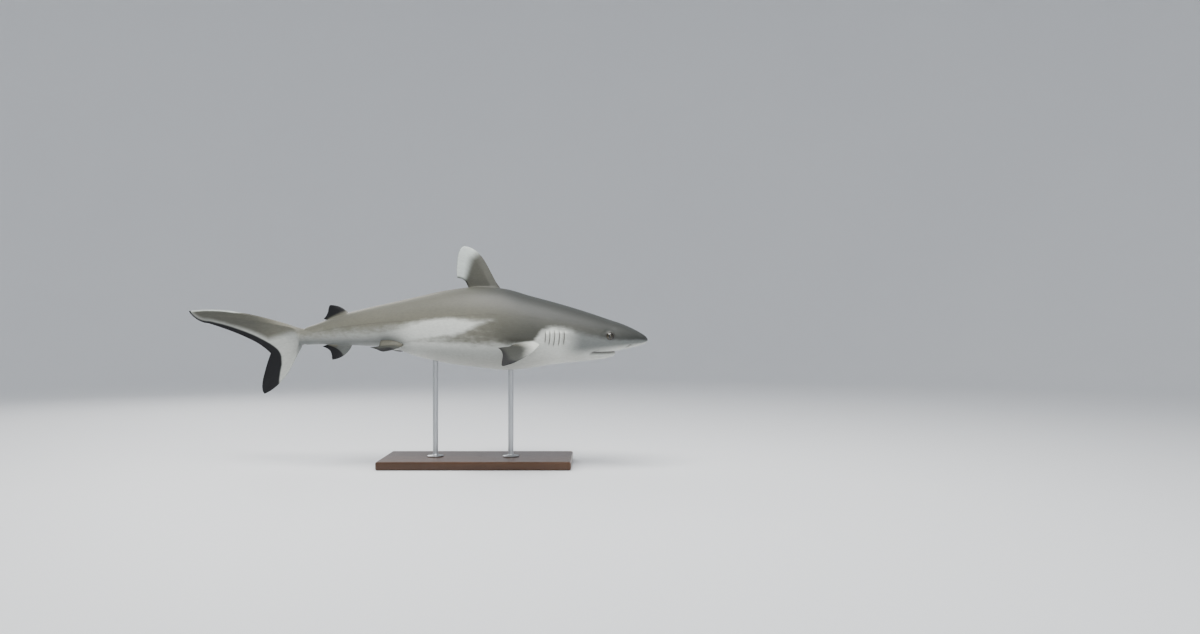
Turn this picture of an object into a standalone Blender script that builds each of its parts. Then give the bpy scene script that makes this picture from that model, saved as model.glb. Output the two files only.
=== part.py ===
"""Life-size display model of a grey reef shark, held on a plain stand.

The fish is laid out straight, in percent of its total length, the unit that
shark measurements are given in: s runs back from the snout tip, y to its left
side, z up from its axis. to_world() then bends that layout along the swimming
curve, banks it a little and lifts it to its height over the floor. The origin
is the middle of the stand base's underside, +X towards the snout.
"""
import math

import bmesh
import bpy
import numpy as np
from mathutils import Vector

TOTAL_LENGTH = 1.60
PERCENT = TOTAL_LENGTH / 100
SWIM_HEIGHT = 0.42
BALANCE_STATION = 36.0
GAP = 0.0003

BANK = math.radians(2.0)
HEAD_YAW = math.radians(2.5)
TAIL_YAW = math.radians(9.0)
HEAD_TURN = (2.0, 30.0)  # where each turn of the spine starts, and its length
TAIL_TURN = (42.0, 40.0)

# s, back, underside without the lower jaw, half width, height of the widest line
BODY_ROWS = (
    (0.0, 0.20, 0.20, 0.00, 0.20),
    (2.0, 2.02, -1.04, 2.90, 0.30),
    (4.0, 3.03, -1.47, 3.90, 0.40),
    (6.0, 3.84, -1.90, 4.60, 0.45),
    (8.0, 4.49, -2.35, 5.10, 0.50),
    (10.0, 5.18, -2.80, 5.60, 0.60),
    (13.0, 6.19, -3.55, 6.20, 0.70),
    (16.0, 7.12, -4.35, 6.70, 0.90),
    (20.0, 8.28, -4.91, 7.20, 1.20),
    (25.0, 9.62, -5.70, 7.50, 1.60),
    (30.0, 11.03, -6.12, 7.70, 2.00),
    (36.0, 11.50, -5.54, 7.50, 2.30),
    (42.0, 10.89, -4.75, 6.70, 2.40),
    (50.0, 9.17, -2.88, 5.20, 2.50),
    (54.0, 8.27, -1.43, 4.50, 2.60),
    (60.0, 6.94, -0.99, 3.60, 2.50),
    (66.0, 5.41, -0.79, 2.50, 2.10),
    (72.0, 3.26, -0.74, 1.55, 1.30),
    (74.0, 2.75, -0.90, 1.35, 1.00),
)
SNOUT_START = 0.10
BODY_END = 74.0
RING_POINTS = 36
UPPER_ROUNDNESS = 2.05
THROAT_ROUNDNESS = 2.1
SNOUT_FLATNESS = 0.5

# name, first station, last station, rings
BODY_NODES = (
    ("head", SNOUT_START, 16.2, 22),
    ("gill_region", 16.2, 22.6, 6),
    ("trunk_front", 22.6, 40.0, 10),
    ("trunk_rear", 40.0, 57.0, 10),
    ("tail_peduncle", 57.0, BODY_END, 10),
)

MOUTH_FRONT = 6.7
MOUTH_LENGTH = 4.7
MOUTH_HALF_WIDTH = 4.1
MOUTH_ARCH = 2.2  # 2 is a parabola; more is squarer in front
JAW_DROP = 1.08
JAW_LIP = 1.0
JAW_FADE = (9.0, 18.0)
JAW_TOP = -1.85
JAW_FLOOR = -9.0
JAW_BACK = 13.4
JAW_STEPS = 16

EYE_STATION = 7.9
EYE_HEIGHT = 0.85
EYE_RADIUS = 0.019
EYE_SINK = 0.0155
EYE_ANGLES = np.linspace(0.30, 0.50, 101) * math.pi  # searched for the one at EYE_HEIGHT

FIN_SINK = 1.2
KEEL_FIN_SINK = 0.7
FIN_EDGE = 0.0005 / PERCENT
FIN_HALF = {
    "first_dorsal": 0.75,
    "second_dorsal": 0.35,
    "anal": 0.35,
    "pectoral": 0.62,
    "pelvic": 0.38,
}
THICKEST = 0.25  # share of the width from the leading edge
THIN_REAR = 1.3  # powers of the thinning towards the rear and the tip
THIN_TIP = 0.8
FIRST_DORSAL_ROOT = (30.2, 38.1)
SECOND_DORSAL_ROOT = (63.2, 66.6)
ANAL_ROOT = (62.5, 66.4)
PECTORAL_BASE = (22.2, math.radians(110))
PELVIC_BASE = (50.7, math.radians(133))
PAIRED_DROOP = math.radians(14)

BASE_SIZE = (0.64, 0.32, 0.028)
BASE_BEVEL = 0.006
ROD_STATIONS = {"front": 29.0, "rear": 45.0}
ROD_RADIUS = 0.009
ROD_OVERRUN = 0.024
ROD_SIDES = 20
FLANGE_RADIUS = 0.028
FLANGE_HEIGHT = 0.006


# Layout

def ease(value):
    value = np.clip(value, 0.0, 1.0)
    return value * value * (3.0 - 2.0 * value)


def spine_table():
    """Stations with the place and heading of the bent axis at each."""
    s = np.linspace(-5.0, 110.0, 1151)
    yaw = HEAD_YAW * (1 - ease((s - HEAD_TURN[0]) / HEAD_TURN[1]))
    yaw += TAIL_YAW * ease((s - TAIL_TURN[0]) / TAIL_TURN[1])
    mean = (yaw[1:] + yaw[:-1]) / 2
    step = np.diff(s)
    back = np.concatenate(([0.0], np.cumsum(np.cos(mean) * step)))
    side = np.concatenate(([0.0], np.cumsum(np.sin(mean) * step)))
    back -= np.interp(BALANCE_STATION, s, back)
    side -= np.interp(BALANCE_STATION, s, side)
    return s, back, side, yaw


SPINE = spine_table()


def to_world(s, y, z):
    """Bend, bank and lift a point of the straight layout; metres."""
    stations, back, side, yaw = SPINE
    heading = np.interp(s, stations, yaw)
    x = -np.interp(s, stations, back) + y * math.sin(heading)
    y = np.interp(s, stations, side) + y * math.cos(heading)
    banked_y = y * math.cos(BANK) + z * math.sin(BANK)
    banked_z = z * math.cos(BANK) - y * math.sin(BANK)
    return Vector((x * PERCENT, banked_y * PERCENT, SWIM_HEIGHT + banked_z * PERCENT))


def curve_through(rows):
    """Smooth curves through the rows' columns, round at s = 0."""
    table = np.array(rows)
    place = np.sqrt(table[:, 0])
    slope = np.gradient(table[:, 1:], place, axis=0)

    def look_up(s):
        at = math.sqrt(max(s, 0.0))
        i = int(np.clip(np.searchsorted(place, at) - 1, 0, len(place) - 2))
        span = place[i + 1] - place[i]
        t = (at - place[i]) / span
        start = (1 + 2 * t) * (1 - t) ** 2
        end = t * t * (3 - 2 * t)
        out = t * (1 - t) ** 2 * span
        back = t * t * (t - 1) * span
        return start * table[i, 1:] + end * table[i + 1, 1:] + out * slope[i] + back * slope[i + 1]

    return look_up


body_at = curve_through(BODY_ROWS)


def mouth_edge(y):
    """Station of the mouth's line at a distance from the middle."""
    return MOUTH_FRONT + MOUTH_LENGTH * (abs(y) / MOUTH_HALF_WIDTH) ** MOUTH_ARCH


def body_point(s, angle, grow=0.0):
    """Point of the body's surface; angle 0 is the back, pi the keel, + the left side."""
    top, keel, half, wide = body_at(s)
    lower = THROAT_ROUNDNESS + SNOUT_FLATNESS * (1 - ease(s / 25))
    power = 2 / (UPPER_ROUNDNESS if math.cos(angle) > 0 else lower)
    across = math.copysign(abs(math.sin(angle)) ** power, math.sin(angle))
    upright = abs(math.cos(angle)) ** power
    y = (half + grow) * across
    if math.cos(angle) > 0:
        return y, wide + (top + grow - wide) * upright
    jaw = JAW_DROP * (1 - ease((s - JAW_FADE[0]) / (JAW_FADE[1] - JAW_FADE[0])))
    jaw *= ease((s - mouth_edge(y)) / JAW_LIP) if s > MOUTH_FRONT else 0.0
    return y, wide - (wide - keel + grow + jaw) * upright


# Solids

def material(name, color, roughness, metallic=0.0):
    made = bpy.data.materials.get(name) or bpy.data.materials.new(name)
    made.use_nodes = True
    shader = made.node_tree.nodes["Principled BSDF"]
    shader.inputs["Base Color"].default_value = (*color, 1.0)
    shader.inputs["Roughness"].default_value = roughness
    shader.inputs["Metallic"].default_value = metallic
    return made


def mesh_object(name, bm, finish):
    """Object from a bmesh, its faces turned outwards and shaded smooth."""
    bmesh.ops.recalc_face_normals(bm, faces=bm.faces)
    mesh = bpy.data.meshes.new(name)
    bm.to_mesh(mesh)
    bm.free()
    mesh.shade_smooth()
    mesh.set_sharp_from_angle(angle=math.radians(40))
    made = bpy.data.objects.new(name, mesh)
    made.data.materials.append(finish)
    bpy.context.collection.objects.link(made)
    return made


def loft(name, rings, finish):
    """Closed solid through rings of world points, with flat ends."""
    bm = bmesh.new()
    rows = [[bm.verts.new(point) for point in ring] for ring in rings]
    count = len(rows[0])
    for first, second in zip(rows, rows[1:]):
        for i in range(count):
            j = (i + 1) % count
            bm.faces.new((first[i], first[j], second[j], second[i]))
    bm.faces.new(rows[0][::-1])
    bm.faces.new(rows[-1])
    return mesh_object(name, bm, finish)


def stations(start, end, count):
    """Stations of a node's rings, closer together towards the snout."""
    steps = np.linspace(0.0, 1.0, count)
    if start == SNOUT_START:
        steps = steps ** 1.5
    return start + (end - start) * steps


def body_solid(name, at, finish, grow=0.0):
    rings = []
    for s in at:
        ring = []
        for i in range(RING_POINTS):
            y, z = body_point(s, 2 * math.pi * i / RING_POINTS, grow)
            ring.append(to_world(s, y, z))
        rings.append(ring)
    return loft(name, rings, finish)


def hide_cutter(cutter):
    cutter.hide_render = True
    cutter.display_type = "WIRE"


def cut(target, cutter, operation="DIFFERENCE"):
    step = target.modifiers.new("cut_" + cutter.name, "BOOLEAN")
    step.object = cutter
    step.operation = operation
    step.solver = "EXACT"
    hide_cutter(cutter)


# Fins

def bezier(*handles):
    points = [np.array(p, dtype=float) for p in handles]

    def at(t):
        a, b, c, d = points
        r = 1 - t
        return r ** 3 * a + 3 * r * r * t * b + 3 * r * t * t * c + t ** 3 * d

    return at


def straight(start, end):
    return lambda t: np.array(start) * (1 - t) + np.array(end) * t


def patch(root, trailing, leading, inner):
    """Point inside four edges; u runs from the leading edge, v from the root."""
    corners = [root(0.0), root(1.0), trailing(0.0), trailing(1.0)]

    def at(u, v):
        along = (1 - v) * root(u) + v * trailing(u)
        across = (1 - u) * leading(v) + u * inner(v)
        low = (1 - u) * corners[0] + u * corners[1]
        high = (1 - u) * corners[2] + u * corners[3]
        return along + across - (1 - v) * low - v * high

    return at


def fin_thickness(root_half, u, v):
    """Half thickness: round in front, thickest at a quarter, thin behind."""
    front = math.sqrt(min(u / THICKEST, 1.0))
    rear = 1 - max(0.0, (u - THICKEST) / (1 - THICKEST)) ** THIN_REAR
    return FIN_EDGE + root_half * front * rear * (1 - v) ** THIN_TIP


def sheet_solid(name, finish, us, vs, middle, half):
    """Closed sheet: middle(u, v) in layout units, moved both ways by half(u, v, side)."""
    bm = bmesh.new()
    sides = []
    for side in (1, -1):
        grid = [[bm.verts.new(half(u, v, side, middle(u, v))) for u in us] for v in vs]
        sides.append(grid)
        for low, high in zip(grid, grid[1:]):
            for i in range(len(us) - 1):
                corners = (low[i], low[i + 1], high[i + 1], high[i])
                bm.faces.new(corners if side < 0 else corners[::-1])
    left, right = sides
    rim_left = left[0] + [row[-1] for row in left[1:]] + left[-1][-2::-1]
    rim_left += [row[0] for row in left[-2:0:-1]]
    rim_right = right[0] + [row[-1] for row in right[1:]] + right[-1][-2::-1]
    rim_right += [row[0] for row in right[-2:0:-1]]
    for i, vert in enumerate(rim_left):
        j = (i + 1) % len(rim_left)
        bm.faces.new((vert, rim_left[j], rim_right[j], rim_right[i]))
    return mesh_object(name, bm, finish)


def spread(count, power=1.0):
    return [(i / count) ** power for i in range(count + 1)]


def median_fin(name, finish, outline, root_half, count=(9, 8)):
    """Upright fin on the middle line; outline holds its four edges as (s, z)."""
    surface = patch(*outline)

    def place(u, v, side, point):
        return to_world(point[0], side * fin_thickness(root_half, u, v), point[1])

    return sheet_solid(name, finish, spread(count[0], 1.5), spread(count[1]), surface, place)


def paired_fin(name, finish, side, base, outline, droop, root_half, count=(10, 10)):
    """Fin on a flank; outline is flat, (back, outwards) from base (s, angle)."""
    surface = patch(*outline)
    start, angle = base
    base_y, base_z = body_point(start, angle)
    out = np.array((math.cos(droop), -math.sin(droop)))
    normal = np.array((math.sin(droop), math.cos(droop)))

    def place(u, v, face, point):
        flat = out * point[1] + normal * face * fin_thickness(root_half, u, v)
        return to_world(start + point[0], side * (base_y + flat[0]), base_z + flat[1])

    return sheet_solid(name, finish, spread(count[0], 1.5), spread(count[1]), surface, place)


def back_line(s):
    return np.array((s, body_at(s)[0] - FIN_SINK))


def keel_line(s):
    return np.array((s, body_at(s)[1] + KEEL_FIN_SINK))


def along(line, ends):
    """Edge that follows the back or the keel between two stations."""
    return lambda u: line(ends[0] * (1 - u) + ends[1] * u)


def first_dorsal_outline():
    start, end = FIRST_DORSAL_ROOT
    leading = bezier(back_line(start), (33.7, 13.2), (34.0, 19.4), (38.9, 20.2))
    trailing = bezier((38.9, 20.2), (40.7, 20.2), (40.7, 15.8), (40.5, 13.4))
    inner = bezier(back_line(end), (38.2, 12.6), (38.9, 13.3), (40.5, 13.4))
    return along(back_line, FIRST_DORSAL_ROOT), trailing, leading, inner


def second_dorsal_outline():
    start, end = SECOND_DORSAL_ROOT
    leading = bezier(back_line(start), (64.2, 7.2), (66.2, 7.7), (67.7, 7.7))
    trailing = bezier((67.7, 7.7), (68.4, 7.6), (67.8, 5.9), (69.2, 4.75))
    inner = straight(back_line(end), (69.2, 4.75))
    return along(back_line, SECOND_DORSAL_ROOT), trailing, leading, inner


def anal_outline():
    start, end = ANAL_ROOT
    leading = bezier(keel_line(start), (63.3, -2.2), (64.8, -3.75), (67.2, -3.95))
    trailing = bezier((67.2, -3.95), (67.5, -3.0), (67.0, -1.8), (69.4, -1.15))
    inner = straight(keel_line(end), (69.4, -1.15))
    return along(keel_line, ANAL_ROOT), trailing, leading, inner


def pectoral_outline():
    root = straight((0.0, -2.0), (5.4, -2.0))
    leading = bezier((0.0, -2.0), (0.9, 5.5), (2.8, 13.0), (6.5, 17.0))
    trailing = bezier((6.5, 17.0), (7.6, 16.6), (6.3, 7.0), (8.8, 2.0))
    return root, trailing, leading, bezier((5.4, -2.0), (5.5, 0.0), (6.5, 1.0), (8.8, 2.0))


def pelvic_outline():
    root = straight((0.0, -1.2), (4.4, -1.2))
    leading = bezier((0.0, -1.2), (0.8, 1.4), (1.8, 3.8), (3.5, 5.0))
    trailing = bezier((3.5, 5.0), (4.5, 5.0), (5.0, 2.8), (7.1, 1.3))
    return root, trailing, leading, bezier((4.4, -1.2), (4.5, 0.2), (5.6, 0.8), (7.1, 1.3))


# Caudal fin

CAUDAL_TIP = (100.0, 6.6)
CAUDAL_NOTCH = (95.3, 3.9)
CAUDAL_FORK = (81.05, -2.6)
CAUDAL_LOWER_TIP = (82.3, -11.3)
FORK_SHARE = 0.60
NOTCH_SHARE = 0.12
TAIL_ROOT = BODY_END + GAP / PERCENT
LOBE_GAP = 0.005  # share of the width that parts the lobes at their root
LOBE_GAP_TAPER = 0.88
LOBE_ROWS = 12
LOBE_ROW_POWER = 1.15
LOBE_COLUMNS = {"upper": 17, "lower": 10}
SWELL_POWER = 3.2  # how fast the body's width fades over the fin
SPINE_HALF = 0.55
SPINE_SHARE = 0.10  # middle of the upper lobe's thick band, and its reach
SPINE_REACH = 0.12
WEB_HALF = 0.22


def caudal_root(u):
    """Down the flat rear end of the body, from its back to its keel."""
    angle = math.pi * u
    return np.array((TAIL_ROOT, body_point(BODY_END, angle)[1]))


def caudal_trailing(u):
    """Rear margin from the upper tip by the notch and the fork to the lower tip."""
    if u < NOTCH_SHARE:
        edge = bezier(CAUDAL_TIP, (99.4, 5.4), (97.2, 3.9), CAUDAL_NOTCH)
        return edge(u / NOTCH_SHARE)
    if u < FORK_SHARE:
        edge = bezier(CAUDAL_NOTCH, (91.5, 2.7), (84.3, 0.6), CAUDAL_FORK)
        return edge((u - NOTCH_SHARE) / (FORK_SHARE - NOTCH_SHARE))
    edge = bezier(CAUDAL_FORK, (82.0, -5.2), (83.8, -10.2), CAUDAL_LOWER_TIP)
    return edge((u - FORK_SHARE) / (1 - FORK_SHARE))


def caudal_surface():
    dorsal = bezier(caudal_root(0.0), (78.5, 3.95), (90.0, 8.0), CAUDAL_TIP)
    lower = bezier(caudal_root(1.0), (75.6, -4.4), (77.6, -9.3), CAUDAL_LOWER_TIP)
    return patch(caudal_root, caudal_trailing, dorsal, lower)


def caudal_half(u, v):
    """Half thickness: the body's end at the root, fading along the upper lobe."""
    half = body_at(BODY_END)[2]
    swell = half * math.sin(math.pi * u) * (1 - v) ** SWELL_POWER
    band = math.exp(-((u - SPINE_SHARE) / SPINE_REACH) ** 2)
    spine = SPINE_HALF * (1 - v) ** 1.1 * band * min(1.0, 12 * u)
    web = WEB_HALF * (1 - v) * ease(8 * u) * ease(8 * (1 - u))
    return FIN_EDGE + max(swell, 0.0) + (spine + web) * ease(6 * v)


def caudal_lobe(name, finish, start, end, count, gap=0.0):
    """One lobe of the fin, its share of the width narrowed by a gap at the fork's side."""
    surface = caudal_surface()
    us = [start + (end - start) * i / count for i in range(count + 1)]

    def middle(u, v):
        return surface(u - gap * (1 - LOBE_GAP_TAPER * v) * u / end, v)

    def place(u, v, side, point):
        return to_world(point[0], side * caudal_half(u, v), point[1])

    return sheet_solid(name, finish, us, spread(LOBE_ROWS, LOBE_ROW_POWER), middle, place)


# Head pieces

def jaw_block(name, finish, grow):
    """Upright block with the mouth's arched plan; the lower jaw's room."""
    width = MOUTH_HALF_WIDTH + grow
    plan = [(JAW_BACK + grow, -width)]
    for i in range(JAW_STEPS + 1):
        y = width * (2 * i / JAW_STEPS - 1)
        plan.append((mouth_edge(y * MOUTH_HALF_WIDTH / width) - grow, y))
    plan.append((JAW_BACK + grow, width))
    floor = [to_world(s, y, JAW_FLOOR) for s, y in plan]
    roof = [to_world(s, y, JAW_TOP + grow) for s, y in plan]
    return loft(name, (floor, roof), finish)


def eye_centre(side):
    """Ball's centre, sunk under the head's surface at the eye's place."""
    angle = min(EYE_ANGLES, key=lambda a: abs(body_point(EYE_STATION, a)[1] - EYE_HEIGHT))
    y, z = body_point(EYE_STATION, angle)
    surface = to_world(EYE_STATION, side * y, z)
    inward = to_world(EYE_STATION, 0.0, z) - surface
    return surface + inward.normalized() * EYE_SINK


def ball(name, centre, radius, finish, rows=10):
    bm = bmesh.new()
    bmesh.ops.create_uvsphere(bm, u_segments=rows + 4, v_segments=rows, radius=radius)
    bmesh.ops.translate(bm, verts=bm.verts, vec=centre)
    return mesh_object(name, bm, finish)


# Stand

def stand_base(finish):
    bm = bmesh.new()
    bmesh.ops.create_cube(bm, size=1.0)
    bmesh.ops.scale(bm, verts=bm.verts, vec=BASE_SIZE)
    bmesh.ops.translate(bm, verts=bm.verts, vec=(0, 0, BASE_SIZE[2] / 2))
    made = mesh_object("stand_base", bm, finish)
    edge = made.modifiers.new("edge", "BEVEL")
    edge.width = BASE_BEVEL
    edge.segments = 2
    return made


def stand_rod(name, station, body_cutter, finish):
    """Turned rod with a foot flange, its top cut to the belly above it."""
    foot = to_world(station, 0.0, body_at(station)[1])
    low = BASE_SIZE[2] + GAP
    high = foot.z + ROD_OVERRUN
    turned = ((FLANGE_RADIUS, low), (FLANGE_RADIUS, low + FLANGE_HEIGHT * 0.6),
              (ROD_RADIUS * 1.4, low + FLANGE_HEIGHT), (ROD_RADIUS, low + 2 * FLANGE_HEIGHT),
              (ROD_RADIUS, high))
    turn = [2 * math.pi * i / ROD_SIDES for i in range(ROD_SIDES)]
    rings = []
    for radius, z in turned:
        rings.append([(foot.x + radius * math.cos(a), foot.y + radius * math.sin(a), z) for a in turn])
    rod = loft(name, rings, finish)
    cut(rod, body_cutter)
    return rod


# Assembly

def clear_scene():
    for old in list(bpy.data.objects):
        bpy.data.objects.remove(old)


def build_body(skin):
    """One solid for each length of the body, and the whole body as a cutter."""
    gap = GAP / PERCENT
    whole = []
    pieces = {}
    for name, start, end, count in BODY_NODES:
        at = stations(start, end, count)
        whole.extend(at if not whole else at[1:])
        if start != SNOUT_START:
            at[0] += gap
        pieces[name] = body_solid(name, at, skin)
    cutter = body_solid("body_cutter", whole, skin, gap)
    hide_cutter(cutter)
    return cutter, pieces


def build_head(head, skin, eye_finish):
    jaw = body_solid("lower_jaw", stations(*BODY_NODES[0][1:]), skin)
    cut(head, jaw_block("jaw_room_cutter", skin, GAP / PERCENT))
    cut(jaw, jaw_block("jaw_shape_cutter", skin, 0.0), "INTERSECT")
    for side, word in ((1, "left"), (-1, "right")):
        centre = eye_centre(side)
        cut(head, ball("socket_cutter_" + word, centre, EYE_RADIUS + GAP, skin))
        ball("eye_" + word, centre, EYE_RADIUS, eye_finish)


def build_fins(body_cutter, fin_finish):
    coarse = (8, 5)
    fins = [
        median_fin("first_dorsal_fin", fin_finish, first_dorsal_outline(), FIN_HALF["first_dorsal"]),
        median_fin("second_dorsal_fin", fin_finish, second_dorsal_outline(), FIN_HALF["second_dorsal"],
                   coarse),
        median_fin("anal_fin", fin_finish, anal_outline(), FIN_HALF["anal"], coarse),
    ]
    for side, word in ((1, "left"), (-1, "right")):
        fins.append(paired_fin("pectoral_fin_" + word, fin_finish, side, PECTORAL_BASE,
                               pectoral_outline(), PAIRED_DROOP, FIN_HALF["pectoral"]))
        fins.append(paired_fin("pelvic_fin_" + word, fin_finish, side, PELVIC_BASE,
                               pelvic_outline(), PAIRED_DROOP, FIN_HALF["pelvic"], (8, 6)))
    for fin in fins:
        cut(fin, body_cutter)
    caudal_lobe("caudal_fin_upper_lobe", fin_finish, 0.0, FORK_SHARE, LOBE_COLUMNS["upper"], LOBE_GAP)
    caudal_lobe("caudal_fin_lower_lobe", fin_finish, FORK_SHARE, 1.0, LOBE_COLUMNS["lower"])


def build_stand(body_cutter):
    wood = material("stand_wood", (0.20, 0.10, 0.05), 0.45)
    steel = material("stand_steel", (0.62, 0.63, 0.65), 0.3, 1.0)
    stand_base(wood)
    for word, station in ROD_STATIONS.items():
        stand_rod("stand_rod_" + word, station, body_cutter, steel)


def main():
    clear_scene()
    skin = material("shark_skin", (0.42, 0.43, 0.38), 0.5)
    fin_finish = material("fin_skin", (0.33, 0.34, 0.31), 0.5)
    eye_finish = material("eye_surface", (0.05, 0.05, 0.04), 0.08)
    body_cutter, pieces = build_body(skin)
    build_head(pieces["head"], skin, eye_finish)
    build_fins(body_cutter, fin_finish)
    build_stand(body_cutter)


main()
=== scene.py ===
import math

import bmesh
import bpy
import numpy as np
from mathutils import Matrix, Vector
from mathutils.bvhtree import BVHTree


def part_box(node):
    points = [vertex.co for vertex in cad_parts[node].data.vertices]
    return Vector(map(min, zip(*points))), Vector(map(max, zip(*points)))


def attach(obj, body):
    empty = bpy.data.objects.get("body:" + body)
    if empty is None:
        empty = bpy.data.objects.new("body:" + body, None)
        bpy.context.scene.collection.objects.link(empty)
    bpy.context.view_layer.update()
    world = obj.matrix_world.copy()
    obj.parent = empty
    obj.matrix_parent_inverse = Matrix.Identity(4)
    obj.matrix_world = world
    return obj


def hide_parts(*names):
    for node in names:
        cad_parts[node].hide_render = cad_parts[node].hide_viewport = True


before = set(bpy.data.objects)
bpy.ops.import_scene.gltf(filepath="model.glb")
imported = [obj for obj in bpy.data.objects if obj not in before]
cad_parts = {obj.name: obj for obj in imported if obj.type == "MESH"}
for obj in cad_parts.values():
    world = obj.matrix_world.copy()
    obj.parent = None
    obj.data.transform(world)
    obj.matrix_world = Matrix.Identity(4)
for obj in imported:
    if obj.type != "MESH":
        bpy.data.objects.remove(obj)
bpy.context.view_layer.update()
print("frame loaded")

# The fish is laid out straight, in percent of its length: s runs back from the snout,
# y to its left, z up. bend() then gives the swimming curve, and toWorld() the frame's place.
layout = {
    "bank": 2.0, "headYaw": 2.5, "tailYaw": 9.0,  # degrees
    "headTurn": (2, 30), "tailTurn": (42, 40),  # where each turn starts, and over what length
    "balance": 36.0,  # the station over the stand's middle
    "snoutStart": 0.02, "frameSnout": 0.10, "bodyEnd": 74.0, "tailTip": (100.0, 6.6),
}


def ease(value):
    value = np.clip(value, 0.0, 1.0)
    return value * value * (3.0 - 2.0 * value)


def hump(value, middle, width):
    return np.exp(-((value - middle) / width) ** 2)


def mix(first, second, share):
    return first * (1 - share) + second * share


def floats(value):
    return np.asarray(value, dtype=float)


def spineTable():
    s = np.linspace(-5.0, 110.0, 1151)
    (headStart, headLength), (tailStart, tailLength) = layout["headTurn"], layout["tailTurn"]
    yaw = math.radians(layout["headYaw"]) * (1 - ease((s - headStart) / headLength))
    yaw = yaw + math.radians(layout["tailYaw"]) * ease((s - tailStart) / tailLength)
    middle = (yaw[1:] + yaw[:-1]) / 2
    lines = []
    for share in (np.cos(middle), np.sin(middle)):  # backwards, and to the side
        line = np.concatenate(([0.0], np.cumsum(share * np.diff(s))))
        lines.append(line - np.interp(layout["balance"], s, line))
    return s, *lines, yaw


spine = spineTable()


def bend(points):
    s, y, z = np.moveaxis(floats(points), -1, 0)
    places, back, side, yaw = spine
    heading = np.interp(s, places, yaw)
    x = -np.interp(s, places, back) + y * np.sin(heading)
    across = np.interp(s, places, side) + y * np.cos(heading)
    bank = math.radians(layout["bank"])
    level = z * math.cos(bank) - across * math.sin(bank)
    return np.stack((x, across * math.cos(bank) + z * math.sin(bank), level), axis=-1)


aheadOfSlit = (-0.46, -0.33, -0.21, -0.1)
behindSlit = (0.05, 0.12, 0.22, 0.34)

bodySizes = {
    # s, back, underside without the lower jaw, half width, height of the widest line
    "rows": (
        (0.0, 0.20, 0.20, 0.00, 0.20),
        (2.0, 2.02, -1.04, 2.90, 0.30),
        (4.0, 3.03, -1.47, 3.90, 0.40),
        (6.0, 3.84, -1.90, 4.60, 0.45),
        (8.0, 4.49, -2.35, 5.10, 0.50),
        (10.0, 5.18, -2.80, 5.60, 0.60),
        (13.0, 6.19, -3.55, 6.20, 0.70),
        (16.0, 7.12, -4.35, 6.70, 0.90),
        (20.0, 8.28, -4.91, 7.20, 1.20),
        (25.0, 9.62, -5.70, 7.50, 1.60),
        (30.0, 11.03, -6.12, 7.70, 2.00),
        (36.0, 11.50, -5.54, 7.50, 2.30),
        (42.0, 10.89, -4.75, 6.70, 2.40),
        (50.0, 9.17, -2.88, 5.20, 2.50),
        (54.0, 8.27, -1.43, 4.50, 2.60),
        (60.0, 6.94, -0.99, 3.60, 2.50),
        (66.0, 5.41, -0.79, 2.50, 2.10),
        (72.0, 3.26, -0.74, 1.55, 1.30),
        (74.0, 2.75, -0.90, 1.35, 1.00),
    ),
    "upperRoundness": 2.05, "throatRoundness": 2.1, "snoutFlatness": 0.5, "snoutLength": 25,
    # first station, last station, spacing of the rings
    "rings": ((2.6, 5.2, 0.13), (5.2, 10.8, 0.11), (10.8, 16.6, 0.17), (16.6, 22.2, 0.13),
              (22.2, 28.0, 0.2), (28.0, 40.0, 0.27), (40.0, 50.5, 0.38), (50.5, 56.0, 0.2),
              (56.0, 62.0, 0.38), (62.0, 72.6, 0.22), (72.6, 74.0, 0.1)),
    "noseRings": 18, "noseEnd": 2.6, "noseSpread": 1.8,
    # the mouth and the gill slits, with the rings drawn close before and behind each
    "crisp": ((6.7, (-0.36, -0.24, -0.14, -0.06), (0.05, 0.11, 0.19, 0.29, 0.41)),
              (17.25, (-0.42, -0.3, -0.19, -0.09), behindSlit), (18.25, aheadOfSlit, behindSlit),
              (19.25, aheadOfSlit, behindSlit), (20.25, aheadOfSlit, behindSlit),
              (21.15, (-0.38, -0.27, -0.17, -0.08), behindSlit)),
    # first angle, last angle, columns between them, in degrees from the back's middle
    "columns": ((0, 70, 20), (70, 100, 22), (100, 110, 4), (110, 133, 11), (133, 180, 23)),
}

mouth = {
    "front": 6.7, "length": 4.7, "halfWidth": 4.1, "curve": 2.2, "drop": 1.08, "lip": 1.3,
    "fade": (9.0, 18.0), "end": 13, "groove": 0.32, "grooveWidth": 0.10,
    "shiftStart": 98.0, "shiftReach": (0.5, 16.8),
    "lips": ((0.10, 0.42, 0.26), (0.07, -0.34, 0.22)),  # height, place behind the edge, width
    "furrows": ((-1.15, 0.15), (0.75, 0.12)), "furrowDepth": 0.10, "furrowWidth": 0.12,
}


def profile(s):
    # the body's back, keel, half width and widest height, on a smooth line through the rows
    table = np.array(bodySizes["rows"])
    place = np.sqrt(table[:, 0])
    slope = np.gradient(table[:, 1:], place, axis=0)
    at = np.sqrt(np.maximum(floats(s), 0.0))
    i = np.clip(np.searchsorted(place, at) - 1, 0, len(place) - 2)
    span = (place[i + 1] - place[i])[..., None]
    t = (at - place[i])[..., None] / span
    low, high = table[i, 1:], table[i + 1, 1:]
    value = (1 + 2 * t) * (1 - t) ** 2 * low + t * t * (3 - 2 * t) * high
    value = value + t * (1 - t) ** 2 * span * slope[i] + t * t * (t - 1) * span * slope[i + 1]
    return np.moveaxis(value, -1, 0)


def mouthEdge(y):
    return mouth["front"] + mouth["length"] * (np.abs(y) / mouth["halfWidth"]) ** mouth["curve"]


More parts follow.
